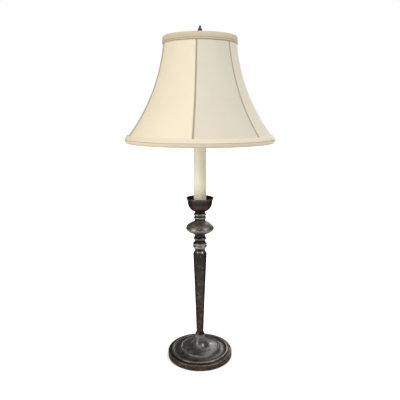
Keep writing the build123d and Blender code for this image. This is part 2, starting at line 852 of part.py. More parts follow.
# ---------------------------------------------------------------------------------------------
# Shade frame: hub, spider arms, rings and ribs
# ---------------------------------------------------------------------------------------------

top_ring_height = shade_top - top_ring_drop
top_ring_reach = bell_radius(top_ring_height) - top_ring_inset
top_trim_radius = top_ring_reach + ring_radius + top_ring_gap + trim_thickness
bottom_ring_height = shade_bottom + bottom_ring_lift
bottom_ring_reach = bell_radius(bottom_ring_height) - bottom_ring_inset
fabric_low = bottom_ring_height + ring_radius + fabric_end_gap
arm_level = harp_top + hub_thickness / 2
rib_depth = fabric_thickness + rib_gap + rib_radius
lining_depth = rib_depth + rib_radius + rib_gap
lining_inner_depth = lining_depth + lining_thickness

with BuildPart() as shade_hub:
    with BuildSketch(Plane.XY.offset(harp_top)):
        Circle(hub_radius)
        Circle(stud_radius + running_gap, mode=Mode.SUBTRACT)
    extrude(amount=hub_thickness)

with BuildPart() as top_ring:
    with BuildSketch(Plane.XZ):
        with Locations((top_ring_reach, top_ring_height)):
            Circle(ring_radius)
    revolve(axis=Axis.Z)

with BuildPart() as bottom_ring:
    with BuildSketch(Plane.XZ):
        with Locations((bottom_ring_reach, bottom_ring_height)):
            Circle(ring_radius)
    revolve(axis=Axis.Z)

with BuildPart() as spider_arms:
    for direction in arm_directions:
        with BuildLine(radial_plane(direction)):
            arm_path = FilletPolyline(
                (hub_radius - arm_radius, arm_level),
                (arm_straight, arm_level),
                (top_ring_reach - arm_end_overlap, top_ring_height),
                radius=arm_bend_radius,
            )
        with BuildSketch(across(arm_path)):
            Circle(arm_radius)
        sweep(path=arm_path)
    add(shade_hub.part, mode=Mode.SUBTRACT)
    add(top_ring.part, mode=Mode.SUBTRACT)

with BuildPart() as shade_ribs:
    for direction in rib_directions:
        with BuildLine(radial_plane(direction)):
            rib_path = bell_line(fabric_low, top_ring_height, rib_depth)
        with BuildSketch(across(rib_path)):
            Circle(rib_radius)
        sweep(path=rib_path)
    add(top_ring.part, mode=Mode.SUBTRACT)
    add(bottom_ring.part, mode=Mode.SUBTRACT)

# ---------------------------------------------------------------------------------------------
# Shade covering: trims, seam pipings, six fabric panels and the lining
# ---------------------------------------------------------------------------------------------

top_trim_low = shade_top - top_trim_height
top_trim_inner = bell_radius(top_ring_height, lining_inner_depth) - trim_gap
trim_bend = (top_trim_radius - top_trim_inner + trim_thickness) / 2
trim_bend_reach = top_trim_radius - trim_bend
trim_bend_height = shade_top - trim_bend
roll_top = shade_bottom + bottom_roll_height
bottom_trim_top = shade_bottom + bottom_trim_height

with BuildPart() as top_trim:
    with BuildSketch(Plane.XZ):
        with BuildLine():
            outer_leg = Line((top_trim_radius, top_trim_low), (top_trim_radius, trim_bend_height))
            outer_bend = ThreePointArc(
                outer_leg @ 1, (trim_bend_reach, shade_top), (trim_bend_reach - trim_bend, trim_bend_height)
            )
            inner_leg = Line(outer_bend @ 1, (trim_bend_reach - trim_bend, trim_bend_height - top_trim_fold))
            hem = Line(inner_leg @ 1, (top_trim_inner, trim_bend_height - top_trim_fold))
            inner_face = Line(hem @ 1, (top_trim_inner, trim_bend_height))
            inner_bend = ThreePointArc(
                inner_face @ 1,
                (trim_bend_reach, shade_top - trim_thickness),
                (top_trim_radius - trim_thickness, trim_bend_height),
            )
            outer_face = Line(inner_bend @ 1, (bell_radius(top_trim_low), top_trim_low))
            Line(outer_face @ 1, outer_leg @ 0)
        make_face()
    revolve(axis=Axis.Z)
    add(spider_arms.part, mode=Mode.SUBTRACT)

with BuildPart() as bottom_trim:
    with BuildSketch(Plane.XZ):
        with BuildLine():
            outer_leg = bell_line(roll_top, bottom_trim_top, -bottom_trim_offset)
            roll_inner = (bottom_ring_reach - bottom_roll_reach, bottom_ring_height + ring_radius)
            outer_roll = bow_arc((bottom_ring_reach, shade_bottom), outer_leg @ 0, bottom_roll_bow)
            inner_roll = bow_arc(outer_roll @ 0, roll_inner, -bottom_roll_bow)
            inner_face = bell_line(fabric_low + bottom_trim_offset, bottom_trim_top, 0)
            Line(inner_roll @ 1, inner_face @ 0)
            Line(inner_face @ 1, outer_leg @ 1)
        make_face()
        with Locations((bottom_ring_reach, bottom_ring_height)):
            Circle(ring_radius, mode=Mode.SUBTRACT)
    revolve(axis=Axis.Z)
    add(shade_ribs.part, mode=Mode.SUBTRACT)

with BuildPart() as seam_pipings:
    for direction in rib_directions:
        with BuildLine(radial_plane(direction)):
            seam_path = bell_line(bottom_trim_top, top_trim_low, -piping_lift)
        with BuildSketch(across(seam_path)):
            Circle(piping_radius)
        sweep(path=seam_path)
    add(top_trim.part, mode=Mode.SUBTRACT)
    add(bottom_trim.part, mode=Mode.SUBTRACT)


def shade_panel(start, sweep_angle):
    """Fabric gore between two ribs."""
    with BuildPart() as piece:
        with BuildSketch(radial_plane(start)):
            with BuildLine():
                bell_strip(fabric_low, top_ring_height, 0, fabric_thickness)
            make_face()
        revolve(axis=Axis.Z, revolution_arc=sweep_angle)
        add(seam_pipings.part, mode=Mode.SUBTRACT)
        add(top_ring.part, mode=Mode.SUBTRACT)
        add(bottom_trim.part, mode=Mode.SUBTRACT)
    return piece


panels = []
for index, start in enumerate(rib_directions):
    following = rib_directions[(index + 1) % len(rib_directions)]
    panels.append(shade_panel(start, (following - start) % 360))

with BuildPart() as shade_lining:
    with BuildSketch(Plane.XZ):
        with BuildLine():
            bell_strip(fabric_low, top_ring_height - 2 * arm_radius, lining_depth, lining_inner_depth)
        make_face()
    revolve(axis=Axis.Z)
    add(bottom_trim.part, mode=Mode.SUBTRACT)

# ---------------------------------------------------------------------------------------------
# Finial with its threaded insert
# ---------------------------------------------------------------------------------------------

tip_level = finial_tip - finial_tip_radius
tip_start = on_circle(finial_tip_radius, tip_level, -45)
tip_middle = on_circle(finial_tip_radius, tip_level, 20)
acorn_level = tip_level - finial_acorn_drop
skirt_top = hub_top + thread_depth + finial_crown_wall

with BuildPart() as finial_insert:
    with BuildSketch(Plane.XY.offset(hub_top)):
        Circle(insert_radius)
        Circle(stud_radius + running_gap, mode=Mode.SUBTRACT)
    extrude(amount=insert_length)

with BuildPart() as finial_knob:
    with BuildSketch(Plane.XZ):
        with BuildLine():
            foot = Line((0, hub_top), (finial_skirt_radius, hub_top))
            skirt = Line(foot @ 1, (finial_skirt_radius, hub_top + finial_skirt_height))
            dome = bow_arc(skirt @ 1, (finial_neck_radius, skirt_top), finial_dome_bow)
            neck = Line(dome @ 1, (finial_neck_radius, skirt_top + finial_neck_length))
            acorn_foot = bow_arc(neck @ 1, (finial_bulb_radius, acorn_level), finial_acorn_bow)
            acorn_cap = bow_arc(acorn_foot @ 1, tip_start, finial_acorn_bow)
            tip = ThreePointArc(acorn_cap @ 1, tip_middle, (0, finial_tip))
            Line(tip @ 1, foot @ 0)
        make_face()
    revolve(axis=Axis.Z)
    with BuildSketch(Plane.XY.offset(hub_top)):
        Circle(insert_radius + running_gap)
    extrude(amount=insert_length + running_gap, mode=Mode.SUBTRACT)
    with BuildSketch(Plane.XY.offset(hub_top)):
        Circle(stud_radius + running_gap)
    extrude(amount=thread_depth, mode=Mode.SUBTRACT)

# ---------------------------------------------------------------------------------------------
# One file per piece
# ---------------------------------------------------------------------------------------------

pieces = {
    "felt_pad": felt_pad,
    "base_weight": base_weight,
    "base_nut": base_nut,
    "base_washer": base_washer,
    "base_casting": base_casting,
    "cord_grommet": cord_grommet,
    "threaded_pipe": threaded_pipe,
    "column": column,
    "lower_spindle": lower_spindle,
    "knop": knop,
    "upper_spindle": upper_spindle,
    "candle_cup": candle_cup,
    "sleeve_seat": sleeve_seat,
    "candle_sleeve": candle_sleeve,
    "sleeve_cap": sleeve_cap,
    "harp_saddle": harp_saddle,
    "harp_wire": harp_wire,
    "harp_top_plate": harp_top_plate,
    "harp_stud": harp_stud,
    "ferrule_left": ferrule_left,
    "ferrule_right": ferrule_right,
    "socket_cap": socket_cap,
    "set_screw": set_screw,
    "socket_shell": socket_shell,
    "socket_liner": socket_liner,
    "socket_core": socket_core,
    "terminal_screws": terminal_screws,
    "screw_shell": screw_shell,
    "centre_contact": centre_contact,
    "switch_stem": switch_stem,
    "switch_key": switch_key,
    "bulb_cap": bulb_cap,
    "bulb_glass": bulb_glass,
    "shade_hub": shade_hub,
    "spider_arms": spider_arms,
    "top_ring": top_ring,
    "bottom_ring": bottom_ring,
    "shade_ribs": shade_ribs,
    "top_trim": top_trim,
    "bottom_trim": bottom_trim,
    "seam_pipings": seam_pipings,
    "shade_lining": shade_lining,
    "finial_insert": finial_insert,
    "finial_knob": finial_knob,
}
for number, panel in enumerate(panels, start=1):
    pieces[f"shade_panel_{number}"] = panel
for name, piece in pieces.items():
    write(piece, name)
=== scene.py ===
import json
from math import asin, atan2, ceil, copysign, hypot, pi, radians, sin, sqrt, tau

import bmesh
import bpy
from bpy.props import FloatProperty, FloatVectorProperty, IntProperty, PointerProperty
from mathutils import Matrix, Vector


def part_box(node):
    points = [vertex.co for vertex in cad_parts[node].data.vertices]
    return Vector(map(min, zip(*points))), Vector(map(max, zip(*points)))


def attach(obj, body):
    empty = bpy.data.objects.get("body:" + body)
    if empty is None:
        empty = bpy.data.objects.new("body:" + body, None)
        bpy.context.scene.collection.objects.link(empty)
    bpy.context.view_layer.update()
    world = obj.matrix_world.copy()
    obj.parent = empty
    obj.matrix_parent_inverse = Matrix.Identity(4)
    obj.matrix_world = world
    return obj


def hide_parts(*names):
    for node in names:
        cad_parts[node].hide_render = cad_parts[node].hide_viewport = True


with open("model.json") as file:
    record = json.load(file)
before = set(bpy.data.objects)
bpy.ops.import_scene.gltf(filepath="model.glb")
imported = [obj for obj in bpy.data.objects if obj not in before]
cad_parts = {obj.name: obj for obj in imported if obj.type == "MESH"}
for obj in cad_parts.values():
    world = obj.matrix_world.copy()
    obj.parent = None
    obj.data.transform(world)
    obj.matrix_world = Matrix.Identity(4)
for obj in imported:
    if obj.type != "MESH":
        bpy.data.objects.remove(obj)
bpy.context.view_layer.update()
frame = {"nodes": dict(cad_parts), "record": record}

bl_info = {
    "name": "Candlestick Table Lamp",
    "version": (1, 0, 0),
    "blender": (4, 5, 0),
    "location": "View3D > Sidebar > Table Lamp",
    "description": "Dresses a candlestick lamp: turned metal stem, candle sleeve and silk bell shade",
    "category": "Add Mesh",
}

MM = 0.001
UP = Vector((0, 0, 1))
DOUBLES = 1e-6  # points closer than this are one
MIX_FIRST, MIX_SECOND, MIX_RESULT = 6, 7, 2  # a Mix node's colour sockets
SLOTS = {entry["node"]: entry["material_slot"] for entry in frame["record"]["subparts"]}
BODY_OF = {
    node: body for body, nodes in frame["record"]["behaviour"]["bodies"].items() for node in nodes
}


# --------------------------------------------------------------------------------------------
# Sizes and colours that a user would change
# --------------------------------------------------------------------------------------------


def length(name, default, description):
    """A size in metres."""
    return FloatProperty(
        name=name, description=description, default=default, min=0.0, unit="LENGTH", precision=5
    )


def power(name, default, description):
    """A light's power in watts."""
    return FloatProperty(name=name, description=description, default=default, min=0.0, unit="POWER")


def strength(name, default, description):
    """A plain factor."""
    return FloatProperty(name=name, description=description, default=default, min=0.0)


def colour(name, default, description):
    """A linear colour."""
    return FloatVectorProperty(
        name=name, description=description, default=default, size=3, min=0.0, max=1.0, subtype="COLOR"
    )


class LampMetalSizes(bpy.types.PropertyGroup):
    edge_softness: length("Edge softness", 0.00028, "Radius of the worn corners on the turned metal")
    column_softness: length("Column edge", 0.0006, "Width of the rounded edge between two column faces")
    arc_step: length("Arc step", 0.0007, "Longest straight run in a drawn curve")
    turning_steps: IntProperty(
        name="Turning steps", description="Steps round a turned piece", default=160, min=24
    )


class LampShadeSizes(bpy.types.PropertyGroup):
    bottom_radius: length("Bell foot radius", 0.1520, "Radius of the bell curve at its low point")
    bottom_lift: length("Bell foot lift", 0.0060, "Height of that point above the shade's lower edge")
    top_radius: length("Bell neck radius", 0.0729, "Radius of the bell curve at its high point")
    top_drop: length("Bell neck drop", 0.0154, "Depth of that point below the shade's upper edge")
    bow: length("Bell bow", 0.01395, "How far the bell curve lies inside its chord")
    slack: length("Silk slack", 0.0011, "How far the silk pulls in between two ribs")
    silk_thickness: length("Silk thickness", 0.0004, "Thickness of the outer silk")
    lining_depth: length("Lining depth", 0.0036, "Distance from the silk to the lining")
    lining_thickness: length("Lining thickness", 0.0003, "Thickness of the lining cloth")
    binding_thickness: length("Binding thickness", 0.0007, "Thickness of the folded silk bindings")
    piping_radius: length("Piping radius", 0.00098, "Radius of the corded seams")
    thread_pitch: length("Thread pitch", 0.00042, "Distance between two threads of the silk")


class LampColours(bpy.types.PropertyGroup):
    # bronze_dark is the patina's dark specks, and on the spindles also the painted shade in their
    # grooves.
    bronze_dark: colour("Bronze, dark", (0.026, 0.022, 0.019), "Patina in the hollows of the metal")
    bronze_mid: colour("Bronze, middle", (0.190, 0.168, 0.146), "The finial's main tone")
    bronze_black: colour("Bronze, black", (0.050, 0.044, 0.039), "The dark column and cup")
    bronze_light: colour("Bronze, light", (0.280, 0.254, 0.226), "The turned rings and the knop")
    # bronze_worn_and_highlight is the tone of metal rubbed bright and of the painted highlights along
    # the crests.
    bronze_worn_and_highlight: colour("Bronze, worn", (0.38, 0.34, 0.30), "Metal rubbed bright along its edges")
    bronze_grey: colour("Bronze, grey", (0.170, 0.168, 0.158), "The dish of the base")
    bronze_red: colour("Bronze, red-brown", (0.045, 0.022, 0.013), "Low on the column and on the base")
    sleeve_ivory: colour("Sleeve ivory", (0.93, 0.90, 0.71), "The candle sleeve")
    silk: colour("Silk", (0.81, 0.725, 0.565), "The shade's panels")
    # silk_painted_shade is a darker, greyer copy of the silk: painted shade and sheen for the panels
    # that the light reaches less.
    silk_painted_shade: colour("Silk, cool", (0.680, 0.628, 0.515), "Panels whose cloth lies across the light")
    silk_slub: colour("Silk slub", (0.74, 0.66, 0.52), "The thicker threads in the silk")
    binding: colour("Binding", (0.755, 0.672, 0.535), "The lower binding")
    binding_top: colour("Upper binding", (0.60, 0.51, 0.35), "The upper binding, a shade more tan")
    # painted_fold_shade is the tone of the painted shade along the bindings' folds and rolled edge,
    # drawn as stitched lines.
    painted_fold_shade: colour("Crease", (0.36, 0.29, 0.19), "The bindings' creases and stitched edges")
    piping: colour("Piping", (0.50, 0.42, 0.29), "The corded seams")
    lining: colour("Lining", (0.86, 0.83, 0.76), "The shade's lining")
    enamel: colour("Enamel", (0.80, 0.78, 0.72), "The enamelled shade wires")
    brass: colour("Brass", (0.62, 0.44, 0.19), "The lamp holder's brass")
    felt: colour("Felt", (0.018, 0.030, 0.022), "The pad under the base")


class LampStage(bpy.types.PropertyGroup):
    camera_back: length("Camera distance", 0.910, "Distance of the camera in front of the lamp's axis")
    camera_height: length("Camera height", 0.5365, "Height of the camera over the floor")
    camera_tilt: FloatProperty(
        name="Camera tilt", description="How far the camera looks down", default=radians(11.4),
        subtype="ANGLE",
    )
    lens: FloatProperty(
        name="Lens", description="Focal length in millimetres", default=39.8, subtype="DISTANCE_CAMERA"
    )
    key_power: power("Key light", 12.3, "Power of the light at the left")
    fill_power: power("Fill light", 12.0, "Power of the light high at the right")
    top_power: power("Top light", 5.0, "Power of the light overhead")
    back_power: power("Back light", 1.6, "Power of the light low behind")
    wall_power: power("Wall light", 11.0, "Power of the lit wall behind")
    surround: strength("Surround", 0.50, "Strength of the studio's own light")
    mirrored: strength("Mirrored surround", 0.17, "Strength of the studio's light in reflections")


# --------------------------------------------------------------------------------------------
# Finishes. Noise scales are in cells per metre.
# --------------------------------------------------------------------------------------------


def dim(tone, share):
    """A share of a colour."""
    return [share * c for c in tone]


class Finish:
    """One material and the few nodes that all of them use."""

    def __init__(self, name):
        self.material = bpy.data.materials.new(name)
        self.material.use_nodes = True
        self.tree = self.material.node_tree
        self.shader = self.tree.nodes["Principled BSDF"]
        self.coords = self.tree.nodes.new("ShaderNodeTexCoord")
        self.from_axis = None

    def link(self, out, into):
        """Joins two sockets."""
        self.tree.links.new(out, into)

    def feed(self, key, out):
        """Drives one of the shader's own sockets."""
        self.link(out, self.shader.inputs[key])

    def set(self, **sockets):
        """Plain values on the shader's own sockets."""
        for key, value in sockets.items():
            self.shader.inputs[key.replace("_", " ")].default_value = value

    def math(self, operation, *terms):
        """One sum on sockets or numbers."""
        made = self.tree.nodes.new("ShaderNodeMath")
        made.operation = operation
        for socket, value in zip(made.inputs, terms):
            if isinstance(value, (int, float)):
                socket.default_value = value
            else:
                self.link(value, socket)
        return made.outputs[0]

    def off(self, value, centre):
        """How far a value is from a number."""
        return self.math("ABSOLUTE", self.math("SUBTRACT", value, centre))

    def place(self):
        """The point on the piece, in metres."""
        return self.coords.outputs["Object"]

    def cloth(self):
        """The point on the cloth's own map, in metres."""
        made = self.tree.nodes.new("ShaderNodeUVMap")
        made.uv_map = "cloth"
        return made.outputs[0]

    def parts(self, where):
        """A point's three numbers."""
        split = self.tree.nodes.new("ShaderNodeSeparateXYZ")
        self.link(where, split.inputs[0])
        return split.outputs[0], split.outputs[1], split.outputs[2]

    def reach_and_height(self):
        """Distance from the lamp's axis and height over the floor."""
        if self.from_axis is None:
            x, y, z = self.parts(self.place())
            squares = self.math("ADD", self.math("MULTIPLY", x, x), self.math("MULTIPLY", y, y))
            self.from_axis = self.math("SQRT", squares), z
        return self.from_axis

    def combine(self, x, y, z):
        """A point from three sockets or numbers."""
        made = self.tree.nodes.new("ShaderNodeCombineXYZ")
        for socket, value in zip(made.inputs, (x, y, z)):
            if isinstance(value, (int, float)):
                socket.default_value = value
            else:
                self.link(value, socket)
        return made.outputs[0]

    def noise(self, where, scale, detail=3.0, roughness=0.55):
        """Noise at a point, mostly between 0.3 and 0.7."""
        made = self.tree.nodes.new("ShaderNodeTexNoise")
        made.inputs["Scale"].default_value = scale
        made.inputs["Detail"].default_value = detail
        made.inputs["Roughness"].default_value = roughness
        self.link(where, made.inputs["Vector"])
        return made.outputs["Fac"]

    def spread(self, value, low, high, out_low=0.0, out_high=1.0):
        """Maps a range of a value to another, held at its ends."""
        made = self.tree.nodes.new("ShaderNodeMapRange")
        self.link(value, made.inputs["Value"])
        ends = (("From Min", low), ("From Max", high), ("To Min", out_low), ("To Max", out_high))
        for key, number in ends:
            made.inputs[key].default_value = number
        return made.outputs["Result"]

    def clouds(self, scale, detail, low=0.3, high=0.7, least=0.0, most=1.0, roughness=0.55):
        """Clouds on the piece: noise spread from the level low to the level high."""
        return self.spread(self.noise(self.place(), scale, detail, roughness), low, high, least, most)

    def mix(self, amount, first, second):
        """Mixes two colours, each a socket or three numbers."""
        made = self.tree.nodes.new("ShaderNodeMix")
        made.data_type = "RGBA"
        self.link(amount, made.inputs[0])
        for socket, value in ((made.inputs[MIX_FIRST], first), (made.inputs[MIX_SECOND], second)):
            if hasattr(value, "is_output"):
                self.link(value, socket)
            else:
                socket.default_value = (*value, 1.0)
        return made.outputs[MIX_RESULT]

    def bump(self, height, distance, amount):
        """Raises the surface by a pattern."""
        made = self.tree.nodes.new("ShaderNodeBump")
        made.inputs["Distance"].default_value = distance
        made.inputs["Strength"].default_value = amount
        self.link(height, made.inputs["Height"])
        self.feed("Normal", made.outputs[0])


def bronze_ground(made, main, low, lifted, groove_shade, patina):
    """The patina's tones, with the broad clouds and fine specks in them, and painted shade in the
    grooves where groove_shade is given.
    """
    tones = bpy.context.scene.lamp_colours
    reach, height = made.reach_and_height()
    cloud = made.clouds(55.0, 5.0, 0.32, 0.68, roughness=0.62)
    speck = made.clouds(520.0, 3.0, 0.38, 0.72)
    share_of_main = cloud
    # lifted sets a low tone under the main one: on the knop that is painted shade on its lower half, on
    # the column and the base a change of tone.
    if lifted:
        risen = made.spread(height, *lifted)
        share_of_main = made.math("MAXIMUM", made.math("MULTIPLY", cloud, 0.2), risen)
    elif groove_shade:
        share_of_main = made.math("MULTIPLY_ADD", cloud, 0.5, 0.5)
    # Painted shade: the grooves close to the axis are darkened towards the low tone.
    if groove_shade:
        share_of_main = made.math("MULTIPLY", share_of_main, made.spread(reach, *groove_shade))
    ground = made.mix(share_of_main, low, main)
    if patina:
        stains = made.clouds(85.0, 6.0, 0.48, 0.62, 0.0, patina, roughness=0.7)
        ground = made.mix(stains, ground, tones.bronze_red)
    ground = made.mix(made.math("MULTIPLY", speck, 0.45), ground, tones.bronze_dark)
    return ground, cloud, speck


def bronze_wear_and_highlights(made, crests, head, edges, scuffs):
    """How far the metal is lightened, from 0 to 1: rubbed edges and patches, and crest and head bands
    that are partly rubbed wear and partly painted highlights.
    """
    reach, height = made.reach_and_height()
    pointed = made.tree.nodes.new("ShaderNodeNewGeometry").outputs["Pointiness"]
    worn = made.spread(pointed, 0.52, 0.58, 0.0, edges)
    # Crest bands: partly rubbed wear, partly painted highlights where the turned crests catch the light.
    for centre, width, depth in crests:
        band = made.spread(made.off(reach, centre * MM), 0.2 * width * MM, width * MM, depth, 0.0)
        worn = made.math("MAXIMUM", worn, band)
    # The head band under the column's top: partly rubbed wear, partly a painted highlight.
    if head:
        band = made.spread(made.off(height, head), 0.0, 2.2 * MM, 0.9, 0.0)
        worn = made.math("MAXIMUM", worn, band)
    worn = made.math("MULTIPLY", worn, made.clouds(160.0, 4.0, 0.36, 0.6, 0.25, 0.85))
    if scuffs:
        patches = made.clouds(130.0, 6.0, 0.50, 0.72, 0.0, scuffs, roughness=0.75)
        worn = made.math("MAXIMUM", worn, patches)
    return worn


def antique_bronze(
    name, main, low, crests=(), head=None, lifted=None, groove_shade=None, edges=0.35, scuffs=0.0, patina=0.0,
    turning=0.5, rim=1.0, gloss=0.24,
):
    """Dark patinated metal under lacquer: mottled tones, fine turning lines, and crests rubbed bright
    and lightened by painted highlights.

    crests: what is rubbed bright and painted with a highlight, each a distance from the axis, the width
    over which the band fades, both in millimetres, and its strength; head is a height that is lightened
    the same way, in metres.
    lifted: the two heights between which the low tone gives way to the main one, in metres.
    groove_shade: the two distances from the axis between which the painted shade in a groove, with the
    patina there, gives way to the main tone.
    edges, scuffs and patina: the strength of rubbed edges, rubbed patches and red-brown stains.
    turning: how deep the turning lines are. rim: what the metal still mirrors at a slant.
    """
    made = Finish(name)
    ground, cloud, speck = bronze_ground(made, main, low, lifted, groove_shade, patina)
    worn = bronze_wear_and_highlights(made, crests, head, edges, scuffs)
    # The light tone covers both the rubbed metal and the painted highlights.
    made.feed("Base Color", made.mix(worn, ground, bpy.context.scene.lamp_colours.bronze_worn_and_highlight))
    made.feed("Metallic", made.spread(worn, 0.0, 1.0, 0.85, 1.0))
    reach, height = made.reach_and_height()
    lines = made.noise(made.combine(reach, reach, height), 900.0, 4.0, 0.7)
    unevenness = made.math("ADD", cloud, made.math("MULTIPLY", lines, 0.6))
    made.feed("Roughness", made.spread(unevenness, 0.2, 1.3, gloss, gloss + 0.16))
    made.set(Specular_IOR_Level=0.5 * rim, Specular_Tint=(rim, rim, rim, 1.0))
    relief = made.math("ADD", made.math("MULTIPLY", lines, turning), made.math("MULTIPLY", speck, 0.3))
    made.bump(relief, 0.12 * MM, 0.6)
    return made.material


def plain_metal(name, tone, rough):
    """Bright metal with fine uneven polish."""
    made = Finish(name)
    grain = made.noise(made.place(), 300.0, 4.0)
    made.feed("Base Color", made.mix(made.spread(grain, 0.3, 0.7), dim(tone, 0.82), tone))
    made.feed("Roughness", made.spread(grain, 0.3, 0.7, rough - 0.07, rough + 0.1))
    made.set(Metallic=1.0)
    made.bump(grain, 0.05 * MM, 0.5)
    return made.material


def smooth_coat(name, tone, rough, scale=140.0, depth=0.06 * MM):
    """Enamel, plastic or card: one tone with slight clouds and grain."""
    made = Finish(name)
    cloud = made.clouds(scale, 5.0)
    made.feed("Base Color", made.mix(cloud, dim(tone, 0.9), tone))
    made.feed("Roughness", made.spread(cloud, 0.0, 1.0, rough - 0.05, rough + 0.06))
    made.bump(made.noise(made.place(), 8.0 * scale), depth, 0.4)
    return made.material


def woven(name, tone, slub, pitch=None, sheen=0.15, painted_fold_shades=()):
    """Silk on the cloth's own map: crossing threads, long slubs and a soft sheen. Each of
    painted_fold_shades is the height above the floor of a line of painted shade along a fold, drawn as a
    stitched line, and its width, in millimetres, and its depth of tone."""
    made = Finish(name)
    along, across, _ = made.parts(made.cloth())
    turns = tau / (pitch or bpy.context.scene.lamp_shade.thread_pitch)
    warp = made.math("SINE", made.math("MULTIPLY", along, turns))
    weft = made.math("SINE", made.math("MULTIPLY", across, turns))
    weave = made.math("ADD", made.math("MULTIPLY", warp, 0.25), made.math("MULTIPLY", weft, 0.25))
    streak = made.combine(
        made.math("MULTIPLY", along, 22.0), made.math("MULTIPLY", across, 900.0), 0.0
    )
    slubs = made.spread(made.noise(streak, 1.0, 2.0), 0.5, 0.78)
    ground = made.mix(made.math("MULTIPLY", slubs, 0.3), tone, slub)
    ground = made.mix(made.clouds(18.0, 2.0, 0.35, 0.65, 0.0, 0.18), ground, dim(slub, 0.93))
    # Painted shade: darker lines along the folds.
    for level, width, depth in painted_fold_shades:
        away = made.off(made.parts(made.place())[2], level * MM)
        line = made.spread(away, 0.15 * width * MM, width * MM, depth, 0.0)
        ground = made.mix(line, ground, bpy.context.scene.lamp_colours.painted_fold_shade)
    made.feed("Base Color", ground)
    made.feed("Roughness", made.spread(slubs, 0.0, 1.0, 0.62, 0.74))
    made.set(Sheen_Weight=sheen, Sheen_Roughness=0.4, Specular_IOR_Level=0.25)
    made.bump(made.math("ADD", weave, made.math("MULTIPLY", slubs, 0.5)), 0.1 * MM, 0.4)
    return made.material


def corded(name, tone):
    """Piping cloth pulled round a twisted cord."""
    made = Finish(name)
    along, around, _ = made.parts(made.cloth())
    lay_length = 1.6 * MM
    run = made.math("MULTIPLY", along, tau / lay_length)
    twist = made.math("SINE", made.math("ADD", run, made.math("MULTIPLY", around, tau)))
    lay = made.spread(twist, -1.0, 1.0)
    # Painted shade: the troughs of the twist are darker than its crowns.
    made.feed("Base Color", made.mix(lay, dim(tone, 0.72), tone))
    made.set(Roughness=0.8, Sheen_Weight=0.2, Specular_IOR_Level=0.2)
    made.bump(lay, 0.2 * MM, 0.8)
    return made.material


def frosted_glass(name):
    """Bulb glass, frosted inside."""
    made = Finish(name)
    grain = made.noise(made.place(), 700.0, 2.0)
    dull, clear = (0.86, 0.86, 0.84), (0.92, 0.92, 0.90)
    made.feed("Base Color", made.mix(made.spread(grain, 0.3, 0.7), dull, clear))
    made.set(Roughness=0.32, Transmission_Weight=0.35, IOR=1.45, Coat_Weight=0.4, Coat_Roughness=0.05)
    made.bump(grain, 0.03 * MM, 0.3)
    return made.material


def pressed_felt(name, tone):
    """Dense wool felt."""
    made = Finish(name)
    made.feed("Base Color", made.mix(made.clouds(60.0, 3.0), tone, dim(tone, 1.7)))
    made.set(Roughness=0.95, Sheen_Weight=0.5, Specular_IOR_Level=0.1)
    made.bump(made.noise(made.place(), 1400.0, 6.0, 0.7), 0.3 * MM, 0.8)
    return made.material


